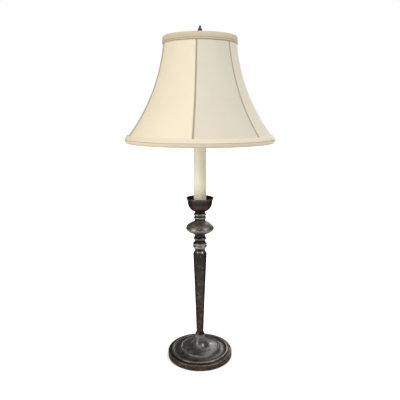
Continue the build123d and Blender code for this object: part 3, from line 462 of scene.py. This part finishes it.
MAKERS = {
    "bronze": lambda name, tones: antique_bronze(name, tones.bronze_mid, tones.bronze_dark),
    # On the spindles and beads groove_shade paints shade in the grooves, and the crest bands are partly
    # rubbed wear and partly painted highlights.
    "bronze_spindle": lambda name, tones: antique_bronze(
        name, tones.bronze_light, tones.bronze_dark, crests=[(14.8, 0.6, 0.9)],
        groove_shade=(12.0 * MM, 14.5 * MM), gloss=0.28, rim=0.6,
    ),
    "bronze_beads": lambda name, tones: antique_bronze(
        name, tones.bronze_light, tones.bronze_dark, crests=[(13.0, 0.8, 0.9)],
        groove_shade=(11.2 * MM, 12.6 * MM), gloss=0.28, rim=0.6,
    ),
    # Painted shade: the knop's lower half takes a quarter of the light bronze. Its necks take painted
    # groove shade, and its crest band is partly a painted highlight.
    "bronze_knop": lambda name, tones: antique_bronze(
        name, dim(tones.bronze_light, 0.85), dim(tones.bronze_light, 0.25), crests=[(29.6, 0.5, 0.8)],
        lifted=[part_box("knop")[0].z + rise * MM for rise in (10.0, 18.0)],
        groove_shade=(11.0 * MM, 15.0 * MM), gloss=0.32, rim=0.5,
    ),
    # The lip's crest band is partly a painted highlight.
    "bronze_cup": lambda name, tones: antique_bronze(
        name, tones.bronze_black, tones.bronze_red, crests=[(28.4, 0.8, 0.4)], edges=0.2, patina=0.6,
        rim=0.3,
    ),
    # The bands at the rim, the ridge and the step ring are partly rubbed wear and partly painted
    # highlights.
    "bronze_cast": lambda name, tones: antique_bronze(
        name, tones.bronze_grey, dim(tones.bronze_red, 0.5),
        crests=[(69.6, 1.3, 0.75), (61.2, 1.9, 1.0), (41.5, 1.1, 0.4)],
        lifted=(11.5 * MM, 17.0 * MM), edges=0.15, scuffs=0.25, patina=0.75, gloss=0.27, rim=0.5,
    ),
    # The band under the column's top is partly rubbed wear and partly a painted highlight.
    "bronze_column": lambda name, tones: antique_bronze(
        name, tones.bronze_black, tones.bronze_red, head=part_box("column")[1].z - 4.0 * MM,
        lifted=(110.0 * MM, 170.0 * MM), scuffs=0.3, turning=0.15, rim=0.12,
    ),
    "steel": lambda name, tones: plain_metal(name, (0.50, 0.50, 0.50), 0.35),
    "brass": lambda name, tones: plain_metal(name, tones.brass, 0.28),
    "aluminium": lambda name, tones: plain_metal(name, (0.75, 0.75, 0.76), 0.30),
    "rubber": lambda name, tones: smooth_coat(name, (0.02, 0.02, 0.02), 0.6),
    "black_plastic": lambda name, tones: smooth_coat(name, (0.012, 0.012, 0.012), 0.25),
    "sleeve": lambda name, tones: smooth_coat(name, tones.sleeve_ivory, 0.42, 40.0, 0.08 * MM),
    "porcelain": lambda name, tones: smooth_coat(name, (0.80, 0.79, 0.75), 0.15),
    "liner": lambda name, tones: smooth_coat(name, (0.34, 0.24, 0.14), 0.8),
    "white_wire": lambda name, tones: smooth_coat(name, tones.enamel, 0.35),
    "shade_silk": lambda name, tones: woven(name, tones.silk, tones.silk_slub),
    # Half the painted shade, for the panels in between.
    "shade_silk_half_painted_shade": lambda name, tones: woven(
        name, [(a + b) / 2 for a, b in zip(tones.silk, tones.silk_painted_shade)], tones.silk_slub
    ),
    "shade_silk_painted_shade": lambda name, tones: woven(name, tones.silk_painted_shade, dim(tones.silk_painted_shade, 0.93)),
    # The bindings' painted shade along their folds and their rolled lower edge.
    "trim_silk": lambda name, tones: woven(
        name, tones.binding, tones.silk_slub, painted_fold_shades=[(480.6, 0.9, 0.6), (474.9, 1.3, 0.5)]
    ),
    "trim_silk_top": lambda name, tones: woven(
        name, tones.binding_top, tones.binding, painted_fold_shades=[(663.8, 1.2, 0.85), (667.0, 1.1, 0.6)]
    ),
    "lining": lambda name, tones: woven(name, tones.lining, tones.silk, 0.35 * MM, 0.1),
    "piping": lambda name, tones: corded(name, tones.piping),
    "felt": lambda name, tones: pressed_felt(name, tones.felt),
    "bulb_glass": lambda name, tones: frosted_glass(name),
}


def finish_for(slot):
    """The finish of a material slot, made once."""
    name = "finish_" + slot
    return bpy.data.materials.get(name) or MAKERS[slot](name, bpy.context.scene.lamp_colours)


# --------------------------------------------------------------------------------------------
# Modelling helpers
# --------------------------------------------------------------------------------------------


def put_piece(shape, name, node, finish=None, sharp=38.0):
    """Makes a finished piece of a bmesh, riding where the node that it stands for rides. Edges are hard
    where they turn by more than sharp degrees."""
    mesh = bpy.data.meshes.new(name)
    shape.to_mesh(mesh)
    shape.free()
    mesh.polygons.foreach_set("use_smooth", [True] * len(mesh.polygons))
    mesh.set_sharp_from_angle(angle=radians(sharp))
    piece = bpy.data.objects.new(name, mesh)
    bpy.context.scene.collection.objects.link(piece)
    mesh.materials.append(finish or finish_for(SLOTS[node]))
    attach(piece, BODY_OF[node])
    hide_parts(node)
    return piece


def draw_run(shape, last, end, bow):
    """Draws one run of a profile from the vertex last to the point end. A bow swells to its right."""
    if not bow:
        reached = shape.verts.new(end)
        shape.edges.new((last, reached))
        return reached
    chord = end - last.co
    half = chord.length / 2
    radius = (half ** 2 + bow ** 2) / (2 * abs(bow))
    right = Vector((chord.z, 0, -chord.x)).normalized()
    centre = last.co + chord / 2 + right * (bow - copysign(radius, bow))
    turn = 2 * asin(min(1.0, half / radius))
    if abs(bow) > half:
        turn = tau - turn
    steps = max(3, ceil(radius * turn / bpy.context.scene.lamp_metal.arc_step))
    swept = bmesh.ops.spin(
        shape, geom=[last], cent=centre, axis=(0, -1, 0), angle=copysign(turn, bow), steps=steps
    )
    return next(v for v in swept["geom_last"] if isinstance(v, bmesh.types.BMVert))


def draw_profile(outline, base=0.0, closed=True):
    """A profile in the XZ plane. Each corner is its radius and height in millimetres, and the bow of
    the run that leads to it where that isn't straight."""
    shape = bmesh.new()
    corners = [Vector((corner[0] * MM, 0, base + corner[1] * MM)) for corner in outline]
    first = last = shape.verts.new(corners[0])
    for corner, end in zip(outline[1:], corners[1:]):
        last = draw_run(shape, last, end, corner[2] * MM if len(corner) > 2 else 0.0)
    if closed:
        shape.edges.new((last, first))
    return shape


def soften(shape, width):
    """Rounds the sharp corners of a profile."""
    nearly_straight = radians(17)
    sharp = []
    for v in shape.verts:
        if len(v.link_edges) != 2 or v.co.x < width:
            continue
        one, two = (e.other_vert(v).co - v.co for e in v.link_edges)
        if pi - one.angle(two) > nearly_straight:
            sharp.append(v)
    bmesh.ops.bevel(
        shape, geom=sharp, offset=width, offset_type="OFFSET", segments=3, profile=0.5,
        affect="VERTICES", clamp_overlap=True, material=-1,
    )


def turn_round(shape, steps, angle=tau):
    """Turns a profile about the lamp's axis into a skin, closed where the turn is a full one."""
    bmesh.ops.spin(
        shape, geom=shape.verts[:] + shape.edges[:], cent=(0, 0, 0), axis=UP, angle=angle, steps=steps,
        use_merge=angle == tau,
    )
    bmesh.ops.remove_doubles(shape, verts=shape.verts, dist=DOUBLES)
    bmesh.ops.recalc_face_normals(shape, faces=shape.faces)


def outward(face):
    """Positive where a face looks away from the lamp's axis."""
    middle = face.calc_center_median()
    return face.normal.x * middle.x + face.normal.y * middle.y


def turned(name, node, outline, closed=True, finish=None, softness=None):
    """A turned piece that stands for a node and starts at that node's foot."""
    sizes = bpy.context.scene.lamp_metal
    shape = draw_profile(outline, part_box(node)[0].z, closed)
    soften(shape, sizes.edge_softness if softness is None else softness)
    turn_round(shape, sizes.turning_steps)
    return put_piece(shape, name, node, finish)


def merged_copy(node):
    """A node's mesh as one connected skin."""
    shape = bmesh.new()
    shape.from_mesh(frame["nodes"][node].data)
    bmesh.ops.remove_doubles(shape, verts=shape.verts, dist=DOUBLES)
    return shape


def dressed(name, node, sharp=32.0):
    """A node's own shape with smooth shading and its slot's finish."""
    return put_piece(merged_copy(node), name, node, None, sharp)


def bell_arc():
    """Centre and radius of the bell's curve, from the shade's sizes."""
    sizes = bpy.context.scene.lamp_shade
    low_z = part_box("bottom_trim")[0].z + sizes.bottom_lift
    high_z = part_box("top_trim")[1].z - sizes.top_drop
    foot = Vector((sizes.bottom_radius, 0, low_z))
    neck = Vector((sizes.top_radius, 0, high_z))
    chord = neck - foot
    half = chord.length / 2
    radius = (half ** 2 + sizes.bow ** 2) / (2 * sizes.bow)
    away = Vector((chord.z, 0, -chord.x)).normalized()
    return foot + chord / 2 + away * (radius - sizes.bow), radius


def bell_reach(height, depth=0.0):
    """The bell's radius at a height, at a depth under the silk's face."""
    centre, radius = bell_arc()
    return centre.x - sqrt((radius + depth) ** 2 - (height - centre.z) ** 2)


def bell_turn(low, high, depth=0.0):
    """The turn about the bell's centre from one height to another."""
    centre, radius = bell_arc()
    return asin((high - centre.z) / (radius + depth)) - asin((low - centre.z) / (radius + depth))


def bell_sheet(low, high, depth, start, sweep, around, up):
    """Cloth on the bell between two heights and two directions, with its own map in metres."""
    centre, radius = bell_arc()
    shape = bmesh.new()
    first = shape.verts.new((bell_reach(low, depth), 0, low))
    bmesh.ops.spin(
        shape, geom=[first], cent=centre, axis=(0, 1, 0), angle=bell_turn(low, high, depth), steps=up
    )
    bmesh.ops.rotate(shape, verts=shape.verts, cent=(0, 0, 0), matrix=Matrix.Rotation(start, 3, "Z"))
    turn_round(shape, around, sweep)
    if sum(outward(face) for face in shape.faces) < 0:
        bmesh.ops.reverse_faces(shape, faces=shape.faces)
    cloth = shape.loops.layers.uv.new("cloth")
    middle = start + sweep / 2
    for face in shape.faces:
        for loop in face.loops:
            p = loop.vert.co
            turn = (atan2(p.y, p.x) - middle + pi) % tau - pi
            up_along = asin((p.z - centre.z) / (radius + depth)) * radius
            loop[cloth].uv = (turn * hypot(p.x, p.y), up_along)
    return shape


def add_thickness(piece, thickness):
    """Gives a sheet its wall, inwards from its face."""
    wall = piece.modifiers.new("wall", "SOLIDIFY")
    wall.thickness = thickness
    wall.offset = -1.0


# --------------------------------------------------------------------------------------------
# Operators, one for each piece or group of like pieces
# --------------------------------------------------------------------------------------------


class LAMP_OT_base(bpy.types.Operator):
    """Turn the dished base with its rim, ridge, step ring and trumpet foot"""

    bl_idname = "lamp.base"
    bl_label = "Base"

    def execute(self, context):
        outline = [
            (67.4, 0.0), (71.0, 0.0), (71.0, 9.2), (68.4, 11.8, 0.76), (63.2, 11.8), (57.6, 13.5, 2.46),
            (43.0, 17.8, -1.8), (41.5, 19.4, 0.43), (40.0, 18.65), (25.0, 21.8), (10.9, 40.4, -3.7),
            (10.0, 48.4), (5.2, 48.4), (5.2, 33.0), (11.2, 24.8), (22.0, 18.8), (38.5, 14.8),
            (43.0, 8.9), (67.4, 8.9),
        ]
        turned("base_dish", "base_casting", outline)
        return {"FINISHED"}


class LAMP_OT_felt(bpy.types.Operator):
    """Cut the felt pad under the base"""

    bl_idname = "lamp.felt"
    bl_label = "Felt pad"

    def execute(self, context):
        outline = [(0, 0), (66.5, 0), (67.1, 0.6, 0.2), (67.1, 1.5), (0, 1.5)]
        felt = turned("felt_disc", "felt_pad", outline, closed=False, softness=0.2 * MM)
        return {"FINISHED"}


class LAMP_OT_column(bpy.types.Operator):
    """Shape the six-sided tapered column"""

    bl_idname = "lamp.column"
    bl_label = "Column"

    def execute(self, context):
        shape = merged_copy("column")
        flat = radians(0.6)
        bmesh.ops.dissolve_limit(
            shape, angle_limit=flat, use_dissolve_boundaries=False, verts=shape.verts, edges=shape.edges
        )
        piece = put_piece(shape, "column_faceted", "column", finish_for("bronze_column"), 30.0)
        edge = piece.modifiers.new("worn edge", "BEVEL")
        edge.width = context.scene.lamp_metal.column_softness
        edge.segments = 3
        edge.limit_method = "ANGLE"
        edge.angle_limit = radians(28)
        edge.use_clamp_overlap = True
        edge.harden_normals = False
        return {"FINISHED"}


class LAMP_OT_turned_stem(bpy.types.Operator):
    """Turn the ring spindles, the knop and the candle cup"""

    bl_idname = "lamp.turned_stem"
    bl_label = "Turned stem"

    def execute(self, context):
        turned("spindle_lower", "lower_spindle", [
            (5.2, 0), (10.9, 0), (10.9, 1.1), (14.6, 6.5), (13.6, 11.05, 0.8), (13.6, 15.95, 1.4),
            (10.9, 20.15, -0.7), (13.2, 24.35), (12.4, 27.5, 0.76), (10.9, 29.9), (10.9, 31.0),
            (5.2, 31.0),
        ], finish=finish_for("bronze_spindle"))
        turned("knop_turned", "knop", [
            (5.2, 0), (10.9, 0), (10.9, 1.1), (19.0, 7.2, -0.7), (29.8, 16.6, 1.7), (27.5, 22.0),
            (27.0, 22.25), (16.0, 29.4, 0.9), (10.9, 33.9, -0.7), (10.9, 35.0), (5.2, 35.0),
        ], finish=finish_for("bronze_knop"))
        turned("spindle_upper", "upper_spindle", [
            (5.2, 0), (10.9, 0), (10.8, 1.7), (10.8, 7.1, 2.2), (10.8, 8.8), (10.8, 14.2, 2.2),
            (10.9, 16.0), (5.2, 16.0),
        ], finish=finish_for("bronze_beads"))
        turned("cup_turned", "candle_cup", [
            (5.2, 0), (10.9, 0), (10.9, 1.1), (16.4, 4.3, -0.6), (25.4, 19.0, 1.8), (25.8, 23.6),
            (28.5, 29.9, -0.4), (28.5, 30.7), (27.7, 31.5, 0.33), (24.2, 23.6, 0.4), (23.8, 19.0),
            (16.4, 6.5, -2.6), (5.2, 6.5),
        ], finish=finish_for("bronze_cup"))
        return {"FINISHED"}


class LAMP_OT_candle_sleeve(bpy.types.Operator):
    """Make the ivory candle sleeve"""

    bl_idname = "lamp.candle_sleeve"
    bl_label = "Candle sleeve"

    def execute(self, context):
        outline = [(11.6, 0), (13.0, 0), (13.0, 144.5), (11.6, 144.5)]
        turned("sleeve_ivory", "candle_sleeve", outline, softness=0.5 * MM)
        return {"FINISHED"}


class LAMP_OT_shade_panels(bpy.types.Operator):
    """Stretch the six silk panels between the shade's ribs"""

    bl_idname = "lamp.shade_panels"
    bl_label = "Silk panels"

    rib_directions = (-159.0, -95.0, -42.0, 20.0, 81.0, 141.0)
    # The panels take, in turn, the plain silk, the silk with painted shade and the silk with half of it.
    cloths = ("shade_silk", "shade_silk_painted_shade", "shade_silk_half_painted_shade") * 2
    step = radians(2.0)
    steps_up = 64
    hollow_sides = 0.47  # the cut's share of its two widths by its rise, as its sides curve in

    def execute(self, context):
        sizes = context.scene.lamp_shade
        low, high = (corner.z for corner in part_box("shade_panel_1"))
        for index, start in enumerate(self.rib_directions):
            following = self.rib_directions[(index + 1) % len(self.rib_directions)]
            sweep = radians((following - start) % 360)
            shape = bell_sheet(
                low, high, 0.0, radians(start), sweep, ceil(sweep / self.step), self.steps_up
            )
            for v in shape.verts:
                turn = (atan2(v.co.y, v.co.x) - radians(start)) % tau
                between_ribs = sin(pi * min(1.0, turn / sweep))
                between_rings = sin(pi * (v.co.z - low) / (high - low))
                inward = sizes.slack * between_ribs * between_rings
                v.co -= Vector((v.co.x, v.co.y, 0)).normalized() * inward
            silk = finish_for(self.cloths[index])
            piece = put_piece(shape, f"silk_panel_{index + 1}", f"shade_panel_{index + 1}", silk)
            add_thickness(piece, sizes.silk_thickness)
        return {"FINISHED"}


class LAMP_OT_lining(bpy.types.Operator):
    """Stretch the lining inside the ribs"""

    bl_idname = "lamp.lining"
    bl_label = "Lining"

    steps_round, steps_up = 120, 48
    narrowing = 0.69  # the cut's share of its lower hoop by its rise

    def execute(self, context):
        sizes = context.scene.lamp_shade
        low, high = (corner.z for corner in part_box("shade_lining"))
        shape = bell_sheet(low, high, sizes.lining_depth, 0.0, tau, self.steps_round, self.steps_up)
        piece = put_piece(shape, "lining_cloth", "shade_lining")
        add_thickness(piece, sizes.lining_thickness)
        return {"FINISHED"}


class LAMP_OT_pipings(bpy.types.Operator):
    """Lay a corded piping over each seam"""

    bl_idname = "lamp.pipings"
    bl_label = "Seam pipings"

    lift = 0.1 * MM  # how far the cord's middle lies outside the silk's face
    sides, steps = 12, 150

    def lay_cord(self, whole, cloth, low, high):
        """A cord on the bell in the XZ plane, from one height to another, mapped along its length."""
        centre, radius = bell_arc()
        size = bpy.context.scene.lamp_shade.piping_radius
        ring = bmesh.ops.create_circle(whole, cap_ends=True, radius=size, segments=self.sides)["verts"]
        tilt = asin((low - centre.z) / (radius - self.lift))
        bmesh.ops.rotate(whole, verts=ring, cent=(0, 0, 0), matrix=Matrix.Rotation(tilt, 3, "Y"))
        bmesh.ops.translate(whole, verts=ring, vec=(bell_reach(low, -self.lift), 0, low))
        edges = list({e for v in ring for e in v.link_edges})
        spun = bmesh.ops.spin(
            whole, geom=ring + edges, cent=centre, axis=(0, 1, 0),
            angle=bell_turn(low, high, -self.lift), steps=self.steps,
        )
        ends = [g for g in spun["geom_last"] if isinstance(g, bmesh.types.BMEdge)]
        bmesh.ops.contextual_create(whole, geom=ends)
        cord = set(ring)
        todo = list(ring)
        while todo:
            found = {v for e in todo.pop().link_edges for v in e.verts} - cord
            cord |= found
            todo.extend(found)
        for face in {f for v in cord for f in v.link_faces}:
            for loop in face.loops:
                p = loop.vert.co
                away = Vector((p.x - centre.x, 0, p.z - centre.z))
                along = asin(max(-1.0, min(1.0, away.z / away.length))) * radius
                loop[cloth].uv = (along, atan2(p.y, away.length - radius) / tau)
        return list(cord)

    def execute(self, context):
        low, high = (corner.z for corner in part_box("seam_pipings"))
        whole = bmesh.new()
        cloth = whole.loops.layers.uv.new("cloth")
        for direction in LAMP_OT_shade_panels.rib_directions:
            cord = self.lay_cord(whole, cloth, low, high)
            turn = Matrix.Rotation(radians(direction), 3, "Z")
            bmesh.ops.rotate(whole, verts=cord, cent=(0, 0, 0), matrix=turn)
        bmesh.ops.recalc_face_normals(whole, faces=whole.faces)
        put_piece(whole, "piping_cords", "seam_pipings")
        return {"FINISHED"}


class LAMP_OT_bindings(bpy.types.Operator):
    """Fold the silk bindings over the shade's upper and lower rings"""

    bl_idname = "lamp.bindings"
    bl_label = "Bindings"

    def fold(self, name, node, path, steps, rests_on, finish=None):
        """Turns a folded strip about the axis and maps it along its length. The third corner of its
        path is on the strip's outer face."""
        shape = draw_profile(path, closed=False)
        soften(shape, 0.35 * MM)
        turn_round(shape, steps)
        mean, level = (c * MM for c in path[2][:2])
        sample = min(shape.faces, key=lambda face: abs(face.calc_center_median().z - level))
        if outward(sample) < 0:
            bmesh.ops.reverse_faces(shape, faces=shape.faces)
        cloth = shape.loops.layers.uv.new("cloth")
        for face in shape.faces:
            for loop in face.loops:
                p = loop.vert.co
                loop[cloth].uv = (atan2(p.y, p.x) * mean, p.z + 0.5 * hypot(p.x, p.y))
        piece = put_piece(shape, name, node, finish, 60.0)
        add_thickness(piece, bpy.context.scene.lamp_shade.binding_thickness)

    def execute(self, context):
        self.fold("binding_top", "top_trim", [
            (73.0, 663.4), (73.85, 664.6, 0.25), (73.05, 666.3, 0.35), (73.6, 667.0), (73.9, 671.5, 0.1),
            (73.3, 675.6, 0.2), (70.2, 677.4, 1.1), (67.3, 674.4, 1.2), (67.1, 668.0),
        ], 180, ["top_ring"], finish_for("trim_silk_top"))
        self.fold("binding_bottom", "bottom_trim", [
            (146.1, 488.8), (147.5, 488.2, 0.3), (152.4, 481.9, -0.1), (151.9, 480.6),
            (152.7, 479.6, 0.1), (149.4, 474.0, 1.25), (145.4, 475.8, 1.2), (144.9, 479.2, 0.2),
        ][::-1], 220, ["bottom_ring"])
        return {"FINISHED"}


class LAMP_OT_finial(bpy.types.Operator):
    """Turn the acorn finial"""

    bl_idname = "lamp.finial"
    bl_label = "Finial"

    def execute(self, context):
        turned("finial_acorn", "finial_knob", [
            (0, 9.0), (3.17, 9.0), (3.17, 8.67), (4.27, 8.67), (4.27, 0), (5.7, 0), (5.7, 3.0),
            (2.6, 11.0, 1.3), (2.6, 12.4), (4.5, 18.4, 0.5), (1.77, 21.83, 0.5), (0, 26.1, 1.54),
        ], closed=False, softness=0.2 * MM)
        bush = merged_copy("finial_insert")
        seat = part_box("finial_insert")[0].z + 0.01 * MM
        foot = [v for v in bush.verts if v.co.z < seat]
        bmesh.ops.translate(bush, verts=foot, vec=0.03 * MM * UP)
        put_piece(bush, "finial_bush", "finial_insert", sharp=32.0)
        return {"FINISHED"}


class LAMP_OT_shade_wires(bpy.types.Operator):
    """Enamel the shade's rings, ribs, arms and hub"""

    bl_idname = "lamp.shade_wires"
    bl_label = "Shade wires"

    def execute(self, context):
        for node in ("top_ring", "bottom_ring", "shade_ribs", "spider_arms", "shade_hub"):
            dressed(node + "_wire", node)
        return {"FINISHED"}


class LAMP_OT_lamp_holder(bpy.types.Operator):
    """Finish the harp, ferrules, socket and switch"""

    bl_idname = "lamp.lamp_holder"
    bl_label = "Lamp holder"

    nodes = (
        "harp_saddle", "harp_wire", "harp_top_plate", "harp_stud", "ferrule_left", "ferrule_right",
        "socket_cap", "set_screw", "socket_shell", "socket_liner", "socket_core", "terminal_screws",
        "screw_shell", "centre_contact", "switch_stem", "switch_key", "sleeve_cap",
    )

    def execute(self, context):
        for node in self.nodes:
            dressed(node + "_part", node)
        return {"FINISHED"}


class LAMP_OT_bulb(bpy.types.Operator):
    """Finish the frosted bulb and its screw cap"""

    bl_idname = "lamp.bulb"
    bl_label = "Bulb"

    def execute(self, context):
        dressed("bulb_globe", "bulb_glass", 50.0)
        dressed("bulb_screw_cap", "bulb_cap")
        return {"FINISHED"}


class LAMP_OT_fixings(bpy.types.Operator):
    """Finish the pipe, nut, washer, weight, disc and grommet"""

    bl_idname = "lamp.fixings"
    bl_label = "Fixings"

    def execute(self, context):
        for node in (
            "base_weight", "base_nut", "base_washer", "threaded_pipe", "sleeve_seat", "cord_grommet",
        ):
            dressed(node + "_part", node)
        return {"FINISHED"}


class LAMP_OT_stage(bpy.types.Operator):
    """Set the pale floor, the soft lights and the camera"""

    bl_idname = "lamp.stage"
    bl_label = "Stage"

    def area_light(self, name, energy, size, place, aim, tone):
        """A soft round or oval light that the camera doesn't see."""
        lamp = bpy.data.lights.new(name, "AREA")
        lamp.energy = energy
        lamp.shape = "ELLIPSE"
        lamp.size, lamp.size_y = size
        lamp.color = tone
        holder = bpy.data.objects.new(name, lamp)
        holder.location = place
        holder.rotation_euler = (Vector(aim) - Vector(place)).to_track_quat("-Z", "Y").to_euler()
        holder.visible_camera = False
        bpy.context.scene.collection.objects.link(holder)

    def surround(self, context, diffuse, mirrored):
        """White behind the lamp, soft light on it, and a dimmer studio for what the metal mirrors."""
        world = bpy.data.worlds.new("surround")
        world.use_nodes = True
        tree = world.node_tree
        sky = tree.nodes["Background"]
        path = tree.nodes.new("ShaderNodeLightPath")
        tone = (diffuse, diffuse, diffuse, 1.0)
        for ray, value in (("Is Glossy Ray", mirrored), ("Is Camera Ray", 1.0)):
            choice = tree.nodes.new("ShaderNodeMix")
            choice.data_type = "RGBA"
            tree.links.new(path.outputs[ray], choice.inputs[0])
            if isinstance(tone, tuple):
                choice.inputs[MIX_FIRST].default_value = tone
            else:
                tree.links.new(tone, choice.inputs[MIX_FIRST])
            choice.inputs[MIX_SECOND].default_value = (value, value, value, 1.0)
            tone = choice.outputs[MIX_RESULT]
        tree.links.new(tone, sky.inputs["Color"])
        context.scene.world = world
        context.scene.view_settings.view_transform = "Standard"

    def floor_paint(self):
        """A pale floor that glows white to the camera away from the lamp while its paint darkens there,
        and that glows round the base for every ray, a painted light that lights the lamp from below.
        """
        paint = Finish("floor_paint")
        tone = paint.mix(paint.clouds(30.0, 2.0), (0.93, 0.93, 0.93), (0.95, 0.95, 0.95))
        reach, _ = paint.reach_and_height()
        tone = paint.mix(paint.spread(reach, 0.3, 0.9, 0.0, 0.8), tone, (0.2, 0.2, 0.2))
        paint.feed("Base Color", tone)
        paint.set(Roughness=0.9, Specular_IOR_Level=0.1, Emission_Color=(1.0, 1.0, 1.0, 1.0))
        direct = paint.tree.nodes.new("ShaderNodeLightPath").outputs["Is Camera Ray"]
        beyond = paint.math("MULTIPLY", paint.spread(reach, 0.07, 0.30, 0.25, 1.0), direct)
        # Painted light: round the base the floor glows for every ray and lights the lamp from below.
        glow = paint.spread(reach, 0.07, 0.16, 0.2, 0.6)
        near = paint.math("MULTIPLY", glow, paint.spread(reach, 0.4, 0.8, 1.0, 0.0))
        paint.feed("Emission Strength", paint.math("MAXIMUM", near, beyond))
        return paint.material

    def execute(self, context):
        stage = context.scene.lamp_stage
        half_floor = 30.0
        shape = bmesh.new()
        bmesh.ops.create_grid(shape, x_segments=2, y_segments=2, size=half_floor)
        mesh = bpy.data.meshes.new("floor")
        shape.to_mesh(mesh)
        shape.free()
        floor = bpy.data.objects.new("floor", mesh)
        context.scene.collection.objects.link(floor)
        mesh.materials.append(self.floor_paint())
        self.surround(context, stage.surround, stage.mirrored)
        middle, base = (0, 0, 0.4), (0, 0, 0.1)
        warm, white, cool = (1.0, 0.94, 0.83), (1.0, 1.0, 1.0), (0.96, 0.98, 1.0)
        for light in (
            ("key", stage.key_power, (0.7, 1.6), (-1.3, -0.95, 0.8), middle, warm),
            ("fill", stage.fill_power, (0.8, 0.8), (1.2, -0.8, 1.45), middle, cool),
            ("overhead", stage.top_power, (0.7, 0.7), (-0.15, -0.8, 1.65), middle, white),
            ("back", stage.back_power, (0.3, 0.3), (0.42, 1.0, 0.42), base, white),
            ("wall", stage.wall_power, (1.0, 2.4), (0.62, 1.6, 1.3), middle, white),
        ):
            self.area_light(*light)
        view = bpy.data.cameras.new("camera")
        view.lens = stage.lens
        view.sensor_width = 36.0
        view.clip_start = 0.01
        holder = bpy.data.objects.new("camera", view)
        holder.location = (0, -stage.camera_back, stage.camera_height)
        holder.rotation_euler = (pi / 2 - stage.camera_tilt, 0, 0)
        context.scene.collection.objects.link(holder)
        context.scene.camera = holder
        return {"FINISHED"}


STEPS = (
    LAMP_OT_base, LAMP_OT_felt, LAMP_OT_column, LAMP_OT_turned_stem, LAMP_OT_candle_sleeve,
    LAMP_OT_shade_panels, LAMP_OT_lining, LAMP_OT_pipings, LAMP_OT_bindings, LAMP_OT_finial,
    LAMP_OT_shade_wires, LAMP_OT_lamp_holder, LAMP_OT_bulb, LAMP_OT_fixings, LAMP_OT_stage,
)
GROUPS = {
    "lamp_metal": LampMetalSizes, "lamp_shade": LampShadeSizes, "lamp_colours": LampColours,
    "lamp_stage": LampStage,
}


class LAMP_PT_panel(bpy.types.Panel):
    """Lists the lamp's pieces in the sidebar"""

    bl_idname = "LAMP_PT_panel"
    bl_label = "Candlestick lamp"
    bl_space_type = "VIEW_3D"
    bl_region_type = "UI"
    bl_category = "Table Lamp"

    def draw(self, context):
        for step in STEPS:
            self.layout.operator(step.bl_idname)
        for name in GROUPS:
            group = getattr(context.scene, name)
            box = self.layout.box()
            for key in group.__annotations__:
                box.prop(group, key)


def register():
    for name, group in GROUPS.items():
        bpy.utils.register_class(group)
        setattr(bpy.types.Scene, name, PointerProperty(type=group))
    for step in STEPS:
        bpy.utils.register_class(step)
    bpy.utils.register_class(LAMP_PT_panel)


def unregister():
    bpy.utils.unregister_class(LAMP_PT_panel)
    for step in reversed(STEPS):
        bpy.utils.unregister_class(step)
    for name, group in reversed(GROUPS.items()):
        delattr(bpy.types.Scene, name)
        bpy.utils.unregister_class(group)


def main():
    """Builds every piece in order."""
    register()
    for step in STEPS:
        group, name = step.bl_idname.split(".")
        getattr(getattr(bpy.ops, group), name)()
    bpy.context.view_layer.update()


if __name__ == "__main__":
    main()
